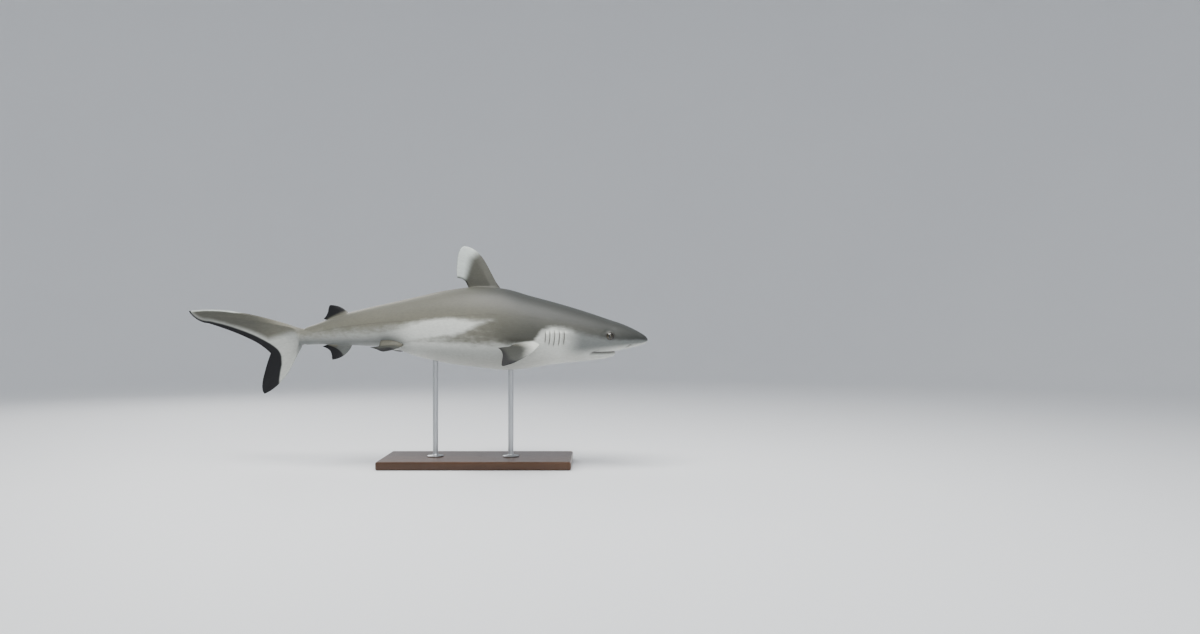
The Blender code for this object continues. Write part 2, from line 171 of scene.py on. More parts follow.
def bodySection(s, angle):
    top, keel, half, wide = profile(s)
    up = np.cos(angle) > 0
    flatness = bodySizes["snoutFlatness"] * (1 - ease(s / bodySizes["snoutLength"]))
    power = 2 / np.where(up, bodySizes["upperRoundness"], bodySizes["throatRoundness"] + flatness)
    y = half * np.sign(np.sin(angle)) * np.abs(np.sin(angle)) ** power
    upright = np.abs(np.cos(angle)) ** power
    fadeStart, fadeEnd = mouth["fade"]
    jaw = mouth["drop"] * (1 - ease((s - fadeStart) / (fadeEnd - fadeStart)))
    behind = np.clip((s - mouthEdge(y)) / mouth["lip"], 0, 1)
    jaw = jaw * np.sqrt(1 - (1 - behind) ** 2) * (s > mouth["front"])
    z = np.where(up, wide + (top - wide) * upright, wide - (wide - keel + jaw) * upright)
    return np.stack((s + 0 * angle, y, z), axis=-1)


def perRadian(s, angle):
    # how far the surface runs round the body for each radian
    step = 0.01
    run = np.linalg.norm(bodySection(s, angle + step) - bodySection(s, angle - step), axis=-1)
    return run / (2 * step)


def fitToFrame():
    # scale and place of the layout, from the boxes of the head, the upper tail lobe and the trunk
    end, height = layout["tailTip"]
    nose, tip = bend((layout["frameSnout"], 0, 0)), bend((end, 0, height))
    head, tail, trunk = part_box("head"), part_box("caudal_fin_upper_lobe"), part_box("trunk_front")
    percent = (head[1].x - tail[0].x) / (nose[0] - tip[0])
    s = np.linspace(22.6, 40.0, 200)
    highest = bend(bodySection(s, np.zeros_like(s)))[:, 2].max()
    return percent, Vector((head[1].x - nose[0] * percent, 0, trunk[1].z - highest * percent))


percent, origin = fitToFrame()


def toWorld(points):
    return bend(points) * percent + np.array(origin)


print("layout fitted: 1 percent is %.2f mm" % (percent * 1000))


def bezier(*handles):
    a, b, c, d = [floats(p) for p in handles]

    def at(t):
        t = floats(t)[..., None]
        r = 1 - t
        return r ** 3 * a + 3 * r * r * t * b + 3 * r * t * t * c + t ** 3 * d

    return at


def straight(start, end):
    return lambda t: mix(floats(start), floats(end), floats(t)[..., None])


def trimmed(curve, below):
    # the part of an edge that shows, from where it leaves the body's surface
    t = np.linspace(0, 1, 801)
    start = t[np.argmin(below(curve(t)))]
    return lambda u: curve(start + (1 - start) * floats(u))


def patch(root, trailing, leading, inner):
    # inside four edges: u runs from the leading edge, v from the root
    def at(u, v):
        share, rise = u[..., None], v[..., None]
        low = mix(root(0.0), root(1.0), share)
        high = mix(trailing(0.0), trailing(1.0), share)
        along = mix(root(u), trailing(u), rise)
        across = mix(leading(v), inner(v), share)
        return along + across - mix(low, high, rise)

    return at


fins = {
    "edge": 0.031, "sink": 1.2, "keelSink": 0.7, "flare": 0.24, "fillet": 0.16,
    "thickest": 0.25, "thinRear": 1.3, "thinTip": 0.8, "rootEnds": 0.03,
    "firstDorsal": {"root": (30.2, 38.1), "freeTip": (40.5, 13.4), "half": 0.75, "rows": 46,
                    "inner": ((38.2, 12.6), (38.9, 13.3)),
                    "leading": ((33.7, 13.2), (34.0, 19.4), (38.9, 20.2)),
                    "trailing": ((40.7, 20.2), (40.7, 15.8))},
    "secondDorsal": {"root": (63.2, 66.6), "freeTip": (69.2, 4.75), "half": 0.35, "rows": 22,
                     "leading": ((64.2, 7.2), (66.2, 7.7), (67.7, 7.7)),
                     "trailing": ((68.4, 7.6), (67.8, 5.9))},
    "anal": {"root": (62.5, 66.4), "freeTip": (69.4, -1.15), "half": 0.35, "rows": 22,
             "leading": ((63.3, -2.2), (64.8, -3.75), (67.2, -3.95)),
             "trailing": ((67.5, -3.0), (67.0, -1.8))},
    "pectoral": {"start": 22.2, "angle": 110, "droop": 14, "half": 0.62, "rows": 60,
                 "leading": ((0.0, -2.0), (0.9, 5.5), (2.8, 13.0), (6.5, 17.0)),
                 "trailing": ((6.5, 17.0), (7.6, 16.6), (6.3, 7.0), (8.8, 2.0)),
                 "inner": ((5.4, -2.0), (5.5, 0.0), (6.5, 1.0), (8.8, 2.0))},
    "pelvic": {"start": 50.7, "angle": 133, "droop": 14, "half": 0.38, "rows": 30,
               "leading": ((0.0, -1.2), (0.8, 1.4), (1.8, 3.8), (3.5, 5.0)),
               "trailing": ((3.5, 5.0), (4.5, 5.0), (5.0, 2.8), (7.1, 1.3)),
               "inner": ((4.4, -1.2), (4.8, -0.1), (5.9, 0.6), (7.1, 1.3))},
}


def upright(p, off):
    # a fin's flat (s, z) points on the middle line, with their distance aside
    return np.stack((p[..., 0], off, p[..., 1]), axis=-1)


def finShape(sizes, edges, line, **more):
    # a fin's surface between its edges, from the body's line outwards
    offBody = lambda p: np.abs(p[:, 1] - line(p[:, 0])[:, 1])
    leading, trailing, inner = trimmed(edges[0], offBody), edges[1], trimmed(edges[2], offBody)
    start, end = float(leading(0.0)[0]), float(inner(0.0)[0])
    root = lambda u: line(mix(start, end, floats(u)))
    return {"surface": patch(root, trailing, leading, inner), "trailing": trailing, "sizes": sizes,
            "ends": (more["start"] + start, more["start"] + end), **more}


def medianFin(name):
    # an upright fin on the back's or the keel's middle line
    sizes = fins[name]
    upper = sizes["freeTip"][1] > 2
    column, sign = (0, 1) if upper else (1, -1)
    sink = fins["sink"] if upper else fins["keelSink"]

    def line(s, depth=0.0):
        return np.stack((floats(s), profile(floats(s))[column] - sign * depth), axis=-1)

    first, last = sizes["root"]
    leading = bezier(line(first, sink), *sizes["leading"])
    inner = straight(line(last, sink), sizes["freeTip"])
    if "inner" in sizes:
        inner = bezier(line(last, sink), *sizes["inner"], sizes["freeTip"])
    trailing = bezier(sizes["leading"][-1], *sizes["trailing"], sizes["freeTip"])
    return finShape(sizes, (leading, trailing, inner), line, place=upright, start=0,
                    angle=0.0 if upper else math.pi, plusSide=sign)


def pairedFin(name, side):
    # a fin on a flank, flat in (back, outwards) from its base
    sizes = fins[name]
    angle, droop = math.radians(sizes["angle"]), math.radians(sizes["droop"])
    base = bodySection(np.array([sizes["start"]]), np.array([angle]))[0]

    def place(p, off):
        y = base[1] + p[..., 1] * math.cos(droop) + off * math.sin(droop)
        z = base[2] - p[..., 1] * math.sin(droop) + off * math.cos(droop)
        return np.stack((sizes["start"] + p[..., 0], side * y, z), axis=-1)

    edges = [bezier(*sizes[name]) for name in ("leading", "trailing", "inner")]
    return finShape(sizes, edges, lambda s: np.stack((s, 0 * s), axis=-1), place=place,
                    start=sizes["start"], angle=angle if side > 0 else 2 * math.pi - angle, plusSide=-side)


caudal = {
    # the rear margin's corners with the share of it before each, and the handles between them
    "corners": (layout["tailTip"], (95.3, 3.9), (81.05, -2.6), (82.3, -11.3)),
    "shares": (0.0, 0.12, 0.60, 1.0),
    "rear": (((99.4, 5.4), (97.2, 3.9)), ((91.5, 2.7), (84.3, 0.6)), ((82.0, -5.2), (83.8, -10.2))),
    "upperFront": ((78.5, 3.95), (90.0, 8.0)), "lowerFront": ((75.6, -4.4), (77.6, -9.3)),
    "rows": 64, "swellReach": 0.52, "web": 0.22,
    "ridge": 0.5, "ridgePlace": 0.11, "ridgeWidth": 0.13, "ridgeTaper": 1.1, "frontEdge": 0.12,
}


def caudalTrailing(u):
    corners, shares = caudal["corners"], caudal["shares"]
    u = floats(u)
    made = 0.0
    for i, handles in enumerate(caudal["rear"]):
        t = np.clip((u - shares[i]) / (shares[i + 1] - shares[i]), 0, 1)
        part = bezier(corners[i], *handles, corners[i + 1])(t)
        made = np.where(u[..., None] < shares[i], made, part)
    return made


def caudalFin():
    def root(u):
        angle = math.pi * floats(u)
        return bodySection(np.full_like(angle, layout["bodyEnd"]), angle)[..., [0, 2]]

    upper = bezier(root(0.0), *caudal["upperFront"], caudal["corners"][0])
    lower = bezier(root(1.0), *caudal["lowerFront"], caudal["corners"][-1])
    return {"surface": patch(root, caudalTrailing, upper, lower), "trailing": caudalTrailing,
            "place": upright, "start": 0, "plusSide": 1}


def finHalf(rootHalf, u, v):
    thickest = fins["thickest"]
    rear = 1 - np.clip((u - thickest) / (1 - thickest), 0, 1) ** fins["thinRear"]
    chord = np.sqrt(np.clip(u / thickest, 0, 1)) * rear
    return fins["edge"] + rootHalf * chord * (1 - v) ** fins["thinTip"]


def flareAt(u, v):
    # the hollow curve that joins a fin to the body
    along = np.clip(4 * u * (1 - u), 0, 1) ** 0.5
    rise = np.clip(1 - v / fins["fillet"], 0, 1)
    return fins["flare"] * along * (1 - np.sqrt(np.clip(1 - rise ** 2, 0, 1)))


def caudalHalf(u, v):
    half = profile(np.array([layout["bodyEnd"]]))[2][0]
    swell = half * np.sin(math.pi * np.clip(u, 0, 1)) * (1 - ease(v / caudal["swellReach"]))
    margin = np.sqrt(1 - (1 - np.clip(u / caudal["frontEdge"], 0, 1)) ** 2)
    ridge = caudal["ridge"] * (1 - v) ** caudal["ridgeTaper"] * margin
    ridge = ridge * hump(u, caudal["ridgePlace"], caudal["ridgeWidth"])
    web = caudal["web"] * (1 - v) * ease(8 * u) * ease(8 * (1 - u))
    return fins["edge"] + swell + (ridge + web) * ease(6 * v)


# Skin: one closed mesh. Rings run round the body at each station, and the fins grow out of
# slits that open along the rings' columns.

slits = {"reach": 3.2, "fullWidth": 0.3, "span": 1.2, "blend": 0.16, "waveSize": 0.05,
         "join": 74.4, "joinWidth": 1.3, "rounds": 14}


def ringStations():
    start, noseEnd = layout["snoutStart"], bodySizes["noseEnd"]
    nose = np.linspace(0, 1, bodySizes["noseRings"])[:-1] ** bodySizes["noseSpread"]
    parts = [start + (noseEnd - start) * nose]
    for first, last, spacing in bodySizes["rings"]:
        parts.append(np.linspace(first, last, round((last - first) / spacing) + 1)[:-1])
    made = np.concatenate(parts + [[layout["bodyEnd"]]])
    for crisp, before, behind in bodySizes["crisp"]:
        made = made[np.abs(made - crisp) > behind[-1] + 0.03]
        made = np.concatenate((made, crisp + np.array((*before, 0.0, *behind))))
    return np.sort(made)


def ringAngles():
    half = [np.linspace(first, last, count + 1)[:-1] for first, last, count in bodySizes["columns"]]
    half = np.radians(np.concatenate(half + [[180.0]]))
    return np.concatenate((half, 2 * math.pi - half[-2:0:-1]))


def allFins():
    made = {name: medianFin(name) for name in ("firstDorsal", "secondDorsal", "anal")}
    for side, word in ((1, "Left"), (-1, "Right")):
        made["pectoral" + word] = pairedFin("pectoral", side)
        made["pelvic" + word] = pairedFin("pelvic", side)
    for fin in made.values():
        fin["rings"] = [int(np.argmin(np.abs(stations - end))) for end in fin["ends"]]
        fin["column"] = int(np.argmin(np.abs(angles - fin["angle"])))
    return made


stations = ringStations()
angles = ringAngles()
finSet = allFins()


def rootWidth(fin, s):
    # how far the slit's lips stand apart: the fin's root and its fillet
    first, last = fin["rings"]
    u = (s - stations[first]) / (stations[last] - stations[first])
    inside = (u > 0) & (u < 1)
    u = np.clip(u, 0, 1)
    ends = ease(np.minimum(u, 1 - u) / fins["rootEnds"])
    return np.where(inside, (finHalf(fin["sizes"]["half"], u, 0) + flareAt(u, 0)) * ends, 0)


def openedAngles(s, around):
    # neighbouring columns close up to leave room for a slit's lips
    moved = around.copy()
    for fin in finSet.values():
        offset = (around - fin["angle"] + math.pi) % (2 * math.pi) - math.pi
        metric = np.maximum(perRadian(s, np.full_like(s, fin["angle"])), 0.05)
        width = rootWidth(fin, s)
        arc = np.abs(offset) * metric
        reach = slits["reach"] * np.minimum(1, width / slits["fullWidth"] + 0.3)
        shifted = np.where(arc < reach, width + arc * (1 - width / reach), arc)
        near = (width > 0) & (np.abs(offset) < slits["span"])
        moved = np.where(near, moved + np.sign(offset) * (shifted - arc) / metric, moved)
    return moved


gills = {
    # station at the slit's middle, half height, height of its middle
    "slits": ((17.25, 1.45, 0.45), (18.25, 1.62, 0.42), (19.25, 1.68, 0.38), (20.25, 1.55, 0.42),
              (21.15, 1.25, 0.62)),
    "middle": 0.45, "tall": 1.6, "bow": 0.17, "lean": 0.12,  # the line of each slit
    "bowChange": 0.03, "leanChange": 0.012, "ends": 0.12, "fade": 0.75, "from": 15.4, "to": 22.2,
    "raise": 0.32, "reach": 0.55, "sink": 0.27, "sinkReach": 0.16,  # the flap, and the step behind it
    # the painted shade just behind each step: its place and width
    "fold": 0.08, "foldWidth": 0.085,  # the dark line in the step
}

eyes = {
    "station": 7.9, "height": 0.85, "long": 0.74, "tall": 0.66,
    "lidEdge": 0.045, "lid": 0.06, "lidPlace": 1.18, "lidWidth": 0.14, "gap": 0.03, "softness": 0.04,
    "socket": 0.055, "socketPlace": 1.85, "socketWidth": 0.4, "behind": 0.75,
    "near": 2.4, "pull": 0.9, "ballRadius": 0.019, "sink": 0.0155,  # the last two in metres
}

nostrils = {
    "inner": (4.55, 2.25), "outer": (3.65, 3.05), "width": 0.16, "depth": 0.34,
    "flap": 0.12, "flapPlace": (4.0, 2.5), "flapSize": (0.2, 0.25),
    "rim": 0.05, "rimPlace": 0.4, "rimWidth": 0.16,
}

pits = {"station": 73.3, "width": 0.34, "depth": 0.32, "spread": 0.62, "lower": 0.6}


def gillLine(z, station):
    # how a slit's line leaves its own ring, up and down the side
    rise = (z - gills["middle"]) / gills["tall"]
    fade = ease((2.3 - np.abs(rise)) / 1.1)
    rise = np.clip(rise, -1.3, 1.3)
    bow = gills["bow"] + gills["bowChange"] * np.sin(3.1 * station)
    lean = gills["lean"] + gills["leanChange"] * (station - 18)
    return (bow * rise ** 2 - lean * rise) * fade


def mouthShift():
    # how far the mouth's ring runs back at each angle: along the mouth, and home again beyond it
    under = np.minimum(angles, 2 * math.pi - angles)
    rear = mouth["front"] + mouth["length"]
    s = np.full_like(under, mouth["front"] + 1)
    for _ in range(30):
        s = np.minimum(mouthEdge(bodySection(s, under)[:, 1]), rear)
    corner = under[s >= rear - 1e-6].max()
    start = math.radians(mouth["shiftStart"])
    beyond = mouth["length"] * ease((under - start) / (corner - start))
    return np.where(under > corner, s - mouth["front"], beyond)


def shapedGrid():
    s, around = np.meshgrid(stations, angles, indexing="ij")
    (start, end), front = mouth["shiftReach"], mouth["front"]
    share = np.where(s < front, ease((s - start) / (front - start)), ease((end - s) / (end - front)))
    around = openedAngles(s, around)
    z = bodySection(s, around)[..., 2]
    window = ease((s - gills["from"]) / 0.9) * ease((gills["to"] - s) / 0.75)
    return s + mouthShift() * share + window * gillLine(z, s), around


def surfaceNormals(s, around):
    step = 0.02
    along = bodySection(s + step, around) - bodySection(np.maximum(s - step, 0), around)
    across = bodySection(s, around + step) - bodySection(s, around - step)
    normal = np.cross(along, across)
    return normal / np.maximum(np.linalg.norm(normal, axis=-1, keepdims=True), 1e-9)


def segmentDistance(x, y, start, end):
    ax, ay = start
    dx, dy = end[0] - ax, end[1] - ay
    t = np.clip(((x - ax) * dx + (y - ay) * dy) / (dx * dx + dy * dy), 0, 1)
    return np.hypot(x - ax - t * dx, y - ay - t * dy), t


def gillRelief(z, nominal):
    # each slit steps down from a raised flap, and painted shade darkens it just behind the step
    height, fold = 0.0, 0.0
    for station, tall, middle in gills["slits"]:
        offset = nominal - station
        strength = ease((tall + gills["ends"] - np.abs(z - middle)) / gills["fade"])
        ahead = gills["raise"] * np.exp(np.minimum(offset, 0) / gills["reach"])
        behind = -gills["sink"] * np.exp(-np.maximum(offset, 0) / gills["sinkReach"])
        height = height + strength * np.where(offset < 0.02, ahead, behind)
        dark = hump(offset, gills["fold"], gills["foldWidth"]) * (offset > 0.02)
        fold = np.maximum(fold, strength * dark)
    return height, fold


def mouthRelief(s, y, under):
    # lips along the mouth's groove, and the furrows at its corners, with painted shade in the groove and the
    # furrows
    corner = mouth["halfWidth"]
    lips = ease((corner + 0.35 - y) / 0.5) * under * (s < mouth["end"])
    gap = s - mouthEdge(y)
    groove = lips * hump(gap, 0.0, mouth["grooveWidth"])
    height, fold = -mouth["groove"] * groove, 0.7 * groove
    for rise, place, width in mouth["lips"]:
        height = height + lips * rise * hump(gap, place, width)
    start = (mouthEdge(corner) - 0.05, corner)
    for ahead, outward in mouth["furrows"]:
        away, t = segmentDistance(s, y, start, (start[0] + ahead, corner + outward))
        furrow = under * hump(away, 0, mouth["furrowWidth"]) * (1 - 0.5 * t)
        height = height - mouth["furrowDepth"] * furrow
        fold = np.maximum(fold, 0.6 * furrow)
    return height, fold


def nostrilRelief(s, y, under):
    # each nostril's hollow, with a flap and a rim; painted shade fills the hollow
    away, _ = segmentDistance(s, y, nostrils["inner"], nostrils["outer"])
    hollow = under * hump(away, 0, nostrils["width"])
    (back, aside), (long, wide) = nostrils["flapPlace"], nostrils["flapSize"]
    flap = nostrils["flap"] * hump(s, back, long) * hump(y, aside, wide)
    rim = nostrils["rim"] * hump(away, nostrils["rimPlace"], nostrils["rimWidth"])
    return under * (flap + rim) - nostrils["depth"] * hollow, hollow


def eyeRadius(s, z):
    return np.hypot((s - eyes["station"]) / eyes["long"], (z - eyes["height"]) / eyes["tall"])


def eyeRelief(s, y, z):
    # a shallow hollow round the lids, and inside them the skin runs in behind the eyeball, painted dark as
    # shade
    radius = eyeRadius(s, z)
    socket = eyes["socket"] * hump(radius, eyes["socketPlace"], eyes["socketWidth"])
    drop = eyes["behind"] * ease((1.0 - radius) / 0.4)
    return np.where(y > 2.5, -socket - drop, 0.0), np.where(y > 2.5, ease((1.12 - radius) / 0.14), 0)


def tailRelief(s, around):
    # the pits on the back and the keel before the tail fin
    aside = (around + math.pi) % (2 * math.pi) - math.pi
    above = hump(aside, 0, pits["spread"])
    below = pits["lower"] * hump(math.pi - np.abs(aside), 0, pits["spread"])
    notch = hump(s, pits["station"], pits["width"]) * (s <= layout["bodyEnd"])
    return -pits["depth"] * notch * np.maximum(above, below)


def eyePlace(side):
    # the skin's point over the middle of an eye, in the layout
    around = np.linspace(1.2, 1.6, 400)
    at = bodySection(np.full_like(around, eyes["station"]), around)
    return at[np.argmin(np.abs(at[:, 2] - eyes["height"]))] * (1, side, 1)


def lidsSeated(points, plain):
    # draws the skin round each eye in to the ball, so that the lids hug it
    radius = eyeRadius(plain[..., 0], plain[..., 2])
    ball, soft = eyes["ballRadius"] / percent, eyes["softness"]
    least = ball + eyes["gap"]  # the skin stays outside the ball
    lid = ball + eyes["lidEdge"] + eyes["lid"] * hump(radius, eyes["lidPlace"], eyes["lidWidth"])
    for side in (1, -1):
        centre = eyePlace(side) - (0, side * eyes["sink"] / percent, 0)
        away = points - centre
        distance = np.linalg.norm(away, axis=-1)
        hugging = mix(distance, lid, ease((1.5 - radius) / 0.42))
        clear = least + soft * np.logaddexp(0, (hugging - least) / soft)
        seated = np.where(radius > 0.985, clear, np.minimum(distance, ball - 0.06))
        near = (side * points[..., 1] > 2.2) & (radius < eyes["near"])
        points = np.where(near[..., None], centre + away * (seated / distance)[..., None], points)
    return points


def eyeGathered(s, around):
    # draws the grid near an eye together, so that a ring of it lies on the rim
    _, y, z = np.moveaxis(bodySection(s, around), -1, 0)
    radius, reach = eyeRadius(s, z), eyes["pull"]
    offset = radius - 1
    pulled = np.sign(offset) * reach * (np.abs(offset) / reach) ** 1.5 - offset
    near = (np.abs(offset) < reach) & (np.abs(y) > 2.5) & (radius > 0.05)
    scale = np.where(near, pulled, 0.0) / np.maximum(radius, 0.05)
    step = 0.01
    rise = bodySection(s, around + step)[..., 2] - bodySection(s, around - step)[..., 2]
    rise = np.where(np.abs(rise) < 0.02, 0.02 * np.where(rise < 0, -1, 1), rise) / (2 * step)
    return s + (s - eyes["station"]) * scale, around + (z - eyes["height"]) * scale / rise


def bodyGrid():
    # the body's points, their angles, and how dark the painted shade in the folds and hollows is
    s, around = eyeGathered(*shapedGrid())
    points = bodySection(s, around)
    y, z = np.abs(points[..., 1]), points[..., 2]
    under = ease((0.1 - np.cos(around)) / 0.2)
    nominal = np.broadcast_to(stations[:, None], s.shape)
    height, fold = tailRelief(s, around), 0.0
    for part in (gillRelief(z, nominal), mouthRelief(s, y, under), nostrilRelief(s, y, under),
                 eyeRelief(s, y, z)):
        height, fold = height + part[0], np.maximum(fold, part[1])
    shaped = points + surfaceNormals(s, around) * height[..., None]
    return lidsSeated(shaped, points), around, fold


class Skin:
    # points in the straight layout, their faces, and what the material needs to know at each
    def __init__(self):
        self.points, self.facts, self.faces = [], [], []
        self.count = 0

    def add(self, points, **facts):
        points = points.reshape(-1, 3)
        first = self.count
        self.count += len(points)
        self.points.append(points)
        self.facts.append({k: np.broadcast_to(v, points.shape[:1]) for k, v in facts.items()})
        return np.arange(first, self.count)

    def quads(self, a, b, c, d):
        self.faces.append(np.stack([part.reshape(-1) for part in (a, b, c, d)], axis=-1))


def finRows(count):
    t = np.linspace(0, 1, count + 1)
    return t - 0.07 * np.sin(2 * math.pi * t)


def edgeDistance(flat, edge, count=160):
    # distance in the fin's plane to one of its edges
    line = edge(np.linspace(0, 1, count))
    return np.linalg.norm(flat[..., None, :] - line, axis=-1).min(axis=-1)


def growFin(skin, fin, lips, u, half, flare, facts):
    # two sheets from the lips outwards, joined along every free edge
    surface, place = fin["surface"], fin["place"]
    root = np.zeros_like(u)
    uu, vv = np.meshgrid(u, finRows(fin["rows"]), indexing="xy")
    spread = uu ** (1 + fin["gather"] * ease(vv / 0.3))
    wave = 1.2 + 0.6 * np.sin(23 * uu + 3) + 0.4 * np.sin(41 * uu + 1.3)
    wave = slits["waveSize"] * wave * fin["fray"] * np.sin(math.pi * uu)
    length = np.maximum(np.linalg.norm(surface(u, root + 1) - surface(u, root), axis=-1), 1)
    flat = surface(spread, vv * (1 - ease((vv - 0.8) / 0.2) * wave / length))
    thick = half(spread, vv) + flare(spread, vv)
    rootFlat, rootThick = surface(u, root), half(u, root) + flare(u, root)
    fade = (1 - ease(vv / slits["blend"]))[..., None]
    inside = (slice(1, -1), slice(1, -1))
    freeEdges = ((slice(1, -1), 0), (slice(1, -1), -1), (-1, slice(None)))
    rim = None
    for sign, lip in zip((fin["plusSide"], -fin["plusSide"]), lips):
        lipPoints = np.concatenate(skin.points)[lip]
        points = place(flat, sign * thick) + (lipPoints - place(rootFlat, sign * rootThick)) * fade
        told = facts(flat, spread, vv, sign)
        pick = lambda part: {k: np.broadcast_to(f, vv.shape)[part].reshape(-1) for k, f in told.items()}
        table = np.zeros(vv.shape, dtype=int)
        table[0] = lip
        table[inside] = skin.add(points[inside], **pick(inside)).reshape(table[inside].shape)
        if rim is None:
            ends = (lipPoints - place(rootFlat, 0 * rootThick))[[0, -1]]
            behind = (np.arange(len(u)) >= len(u) / 2).astype(int)
            level = place(flat, 0 * thick) + ends[behind] * fade
            rim = [skin.add(level[part], **pick(part)) for part in freeEdges]
        for part, indices in zip(freeEdges, rim):
            table[part] = indices
        skin.quads(table[:-1, :-1], table[:-1, 1:], table[1:, 1:], table[1:, :-1])


colours = {
    # stations, and the heights of the grey's lower edge, the pale band's top and its bottom; the pale band
    # is partly the flank's white band and partly a painted highlight on the upper flank
    "stations": (0, 6, 8.5, 11, 14, 16, 17.5, 20, 22, 24, 26, 28, 29.5, 32, 36, 38, 40, 44, 47,
                 50, 53, 56, 60, 66, 75),
    "lowEdge": (0.2, 0.15, 0.3, 0.85, 1.5, 2.2, 2.5, 2.7, 2.0, -0.4, -0.9, -0.9, -0.8, -0.7, -0.7,
                -0.6, -0.5, -0.2, 0.0, 0.2, 0.3, 0.3, 0.3, 0.3, 0.3),
    "bandTop": (9, 9, 9, 9, 9, 9, 9, 8, 7, 6, 5, 4, 3.5, 3.7, 4.0, 4.3, 4.6, 4.5, 4.1,
                3.4, 2.6, 2.1, 1.8, 1.5, 0.9),
    "bandBottom": (20, 20, 20, 20, 20, 20, 20, 18, 16, 12, 9, 7, 6.2, 4.9, 2.9, 1.8, 1.15, 0.7, 0.2,
                   -0.5, -2, -4, -6, -9, -9),
    "softness": (0.4, 0.5, 0.6, 0.8, 1.0, 1.0, 0.9, 0.9, 0.9, 0.9, 0.9, 1.0, 1.1, 1.2, 1.1, 0.9,
                 0.7, 0.6, 0.75, 1.1, 1.6, 1.9, 2.0, 1.9, 1.5),
    # the wedge that runs back under the pale band thins out between these stations
    "wedge": ((24, 30, 38, 42, 48), (9.0, 1.2, 0.5, 0.12, -0.2)),
    # how far the grey darkens towards the snout and the tail
    "darkness": ((2, 9, 16, 24, 31, 37, 50, 70, 76), (1, 0.87, 0.78, 0.72, 0.42, 0.16, 0.1, 0.0, 0.1)),
    # the fine line along each flank, as a share of the way from the widest line to the back
    "line": ((14, 22, 40, 60, 72), (0.52, 0.42, 0.30, 0.20, 0.12)), "lineWidth": 0.09,
    # belly is the strength of the painted shade that greys the white under the belly
    "cheekEnd": 19.2, "belly": 0.55, "backShade": ((36, 46), (0.5, 0.3)),
    "poresEnd": 6.0, "porePatches": ((3.2, 1.5, 1.1), (10.6, 1.9, 0.9)),  # station, height, size
}

finColours = {
    # darkness of the grey and dullness of the white away from the root; the anal fin's white greys over
    # fully, partly its own dusky tone and partly painted shade beneath the body
    "firstDorsal": (0.62, 0), "secondDorsal": (0.5, 0), "anal": (0.5, 1.0), "caudal": (0.62, 0.35),
    "paired": (0.95, 0.3), "rootShade": {"firstDorsal": 0.36, "secondDorsal": 0.36},
    "paleEdge": 2.2, "paleTip": 1.9, "capHeight": 0.2, "analEdge": 2.6,
    # the tail fin's black band: its width by height, thinned towards the upper tip
    "band": ((-9, -5, -3.2, -1.6, 0.5, 4), (3.8, 3.3, 2.6, 1.8, 1.3, 1.0)),
    "bandShare": ((84, 92, 97, 100), (1, 0.8, 0.4, 0.3)),
    "beside": ((80, 90, 98), (0.8, 0.25, 0.15)),
    "border": ((74, 77, 80, 83, 86), (2.0, 1.7, 0.9, -0.1, -2.0)),  # where its grey gives way
    "whiteFront": 0.28, "pairedTip": 4.2, "pelvicShare": 0.6,
}


def tableAt(s, table):
    return np.interp(s, *table)


def greyEdge(s, z):
    # below the band's top the grey gives way to the pale band, partly the flank's own white band and partly
    # a painted highlight
    at = lambda name: tableAt(s, (colours["stations"], colours[name]))
    wedge = np.minimum(z - at("lowEdge"), at("bandBottom") - z)
    wedge = np.minimum(wedge, tableAt(s, colours["wedge"]))
    return np.maximum(wedge, z - at("bandTop")) / at("softness")


def darkness(s):
    return tableAt(s, colours["darkness"])


def dullnessAndShade(s, z):
    # how far the white greys over: on the cheeks as their own duskier tone, under the belly as painted
    # shade, and on the tail as its own paler grey with painted shade added low down
    _, keel, _, wide = profile(s)
    under = (z - keel) / np.maximum(wide - keel, 0.2)
    cheek = ease((colours["cheekEnd"] - s) / 6) * mix(0.25, 1, ease((under - 0.05) / 0.5))
    # painted shade: the belly's white greys towards the underside, a little less at the keel
    belly = colours["belly"] * ease((0.6 - z) / 3.2) * ease((s - 16) / 14)
    belly = belly * mix(0.55, 1, ease(under / 0.35))
    # the tail's own paler grey, greying further low down as painted shade
    tail = (0.45 + 0.5 * ease((1.6 - z) / 2)) * ease((s - 48) / 8)
    return np.clip(cheek + belly + tail, 0, 1)


def backShade(s, z):
    # the middle of the back is darkest
    top, _, _, wide = profile(s)
    height = (z - wide) / np.maximum(top - wide, 0.1)
    return tableAt(s, colours["backShade"]) * ease((height - 0.25) / 0.6)


def lateralLine(s, z):
    top, _, _, wide = profile(s)
    height = wide + (top - wide) * tableAt(s, colours["line"])
    return hump(z - height, 0, colours["lineWidth"]) * ease((s - 13) / 4) * ease((73 - s) / 4)


def snoutPores(s, y, z):
    # where the snout's pores show: under it, and in patches before and behind the eye
    share = ease((0.5 - z) / 0.6) * ease((colours["poresEnd"] - s) / 1.2)
    for station, height, size in colours["porePatches"]:
        share = share + hump(np.hypot(s - station, z - height), 0, size) * (np.abs(y) > 1)
    return np.clip(share, 0, 1) * ease((s - 0.6) / 0.8)


plainFacts = {"grey": 6.0, "black": -9.0, "pale": -9.0, "fold": 0.0, "line": 0.0, "pores": 0.0,
              "finU": 0.0, "finV": 0.0}


def bodyFacts(points, fold):
    s, y, z = np.moveaxis(points, -1, 0)
    dark = np.clip(darkness(s) + backShade(s, z), 0, 1)
    return {**plainFacts, "grey": greyEdge(s, z), "fold": fold, "dark": dark, "dull": dullnessAndShade(s, z),
            "line": lateralLine(s, z), "pores": snoutPores(s, y, z)}


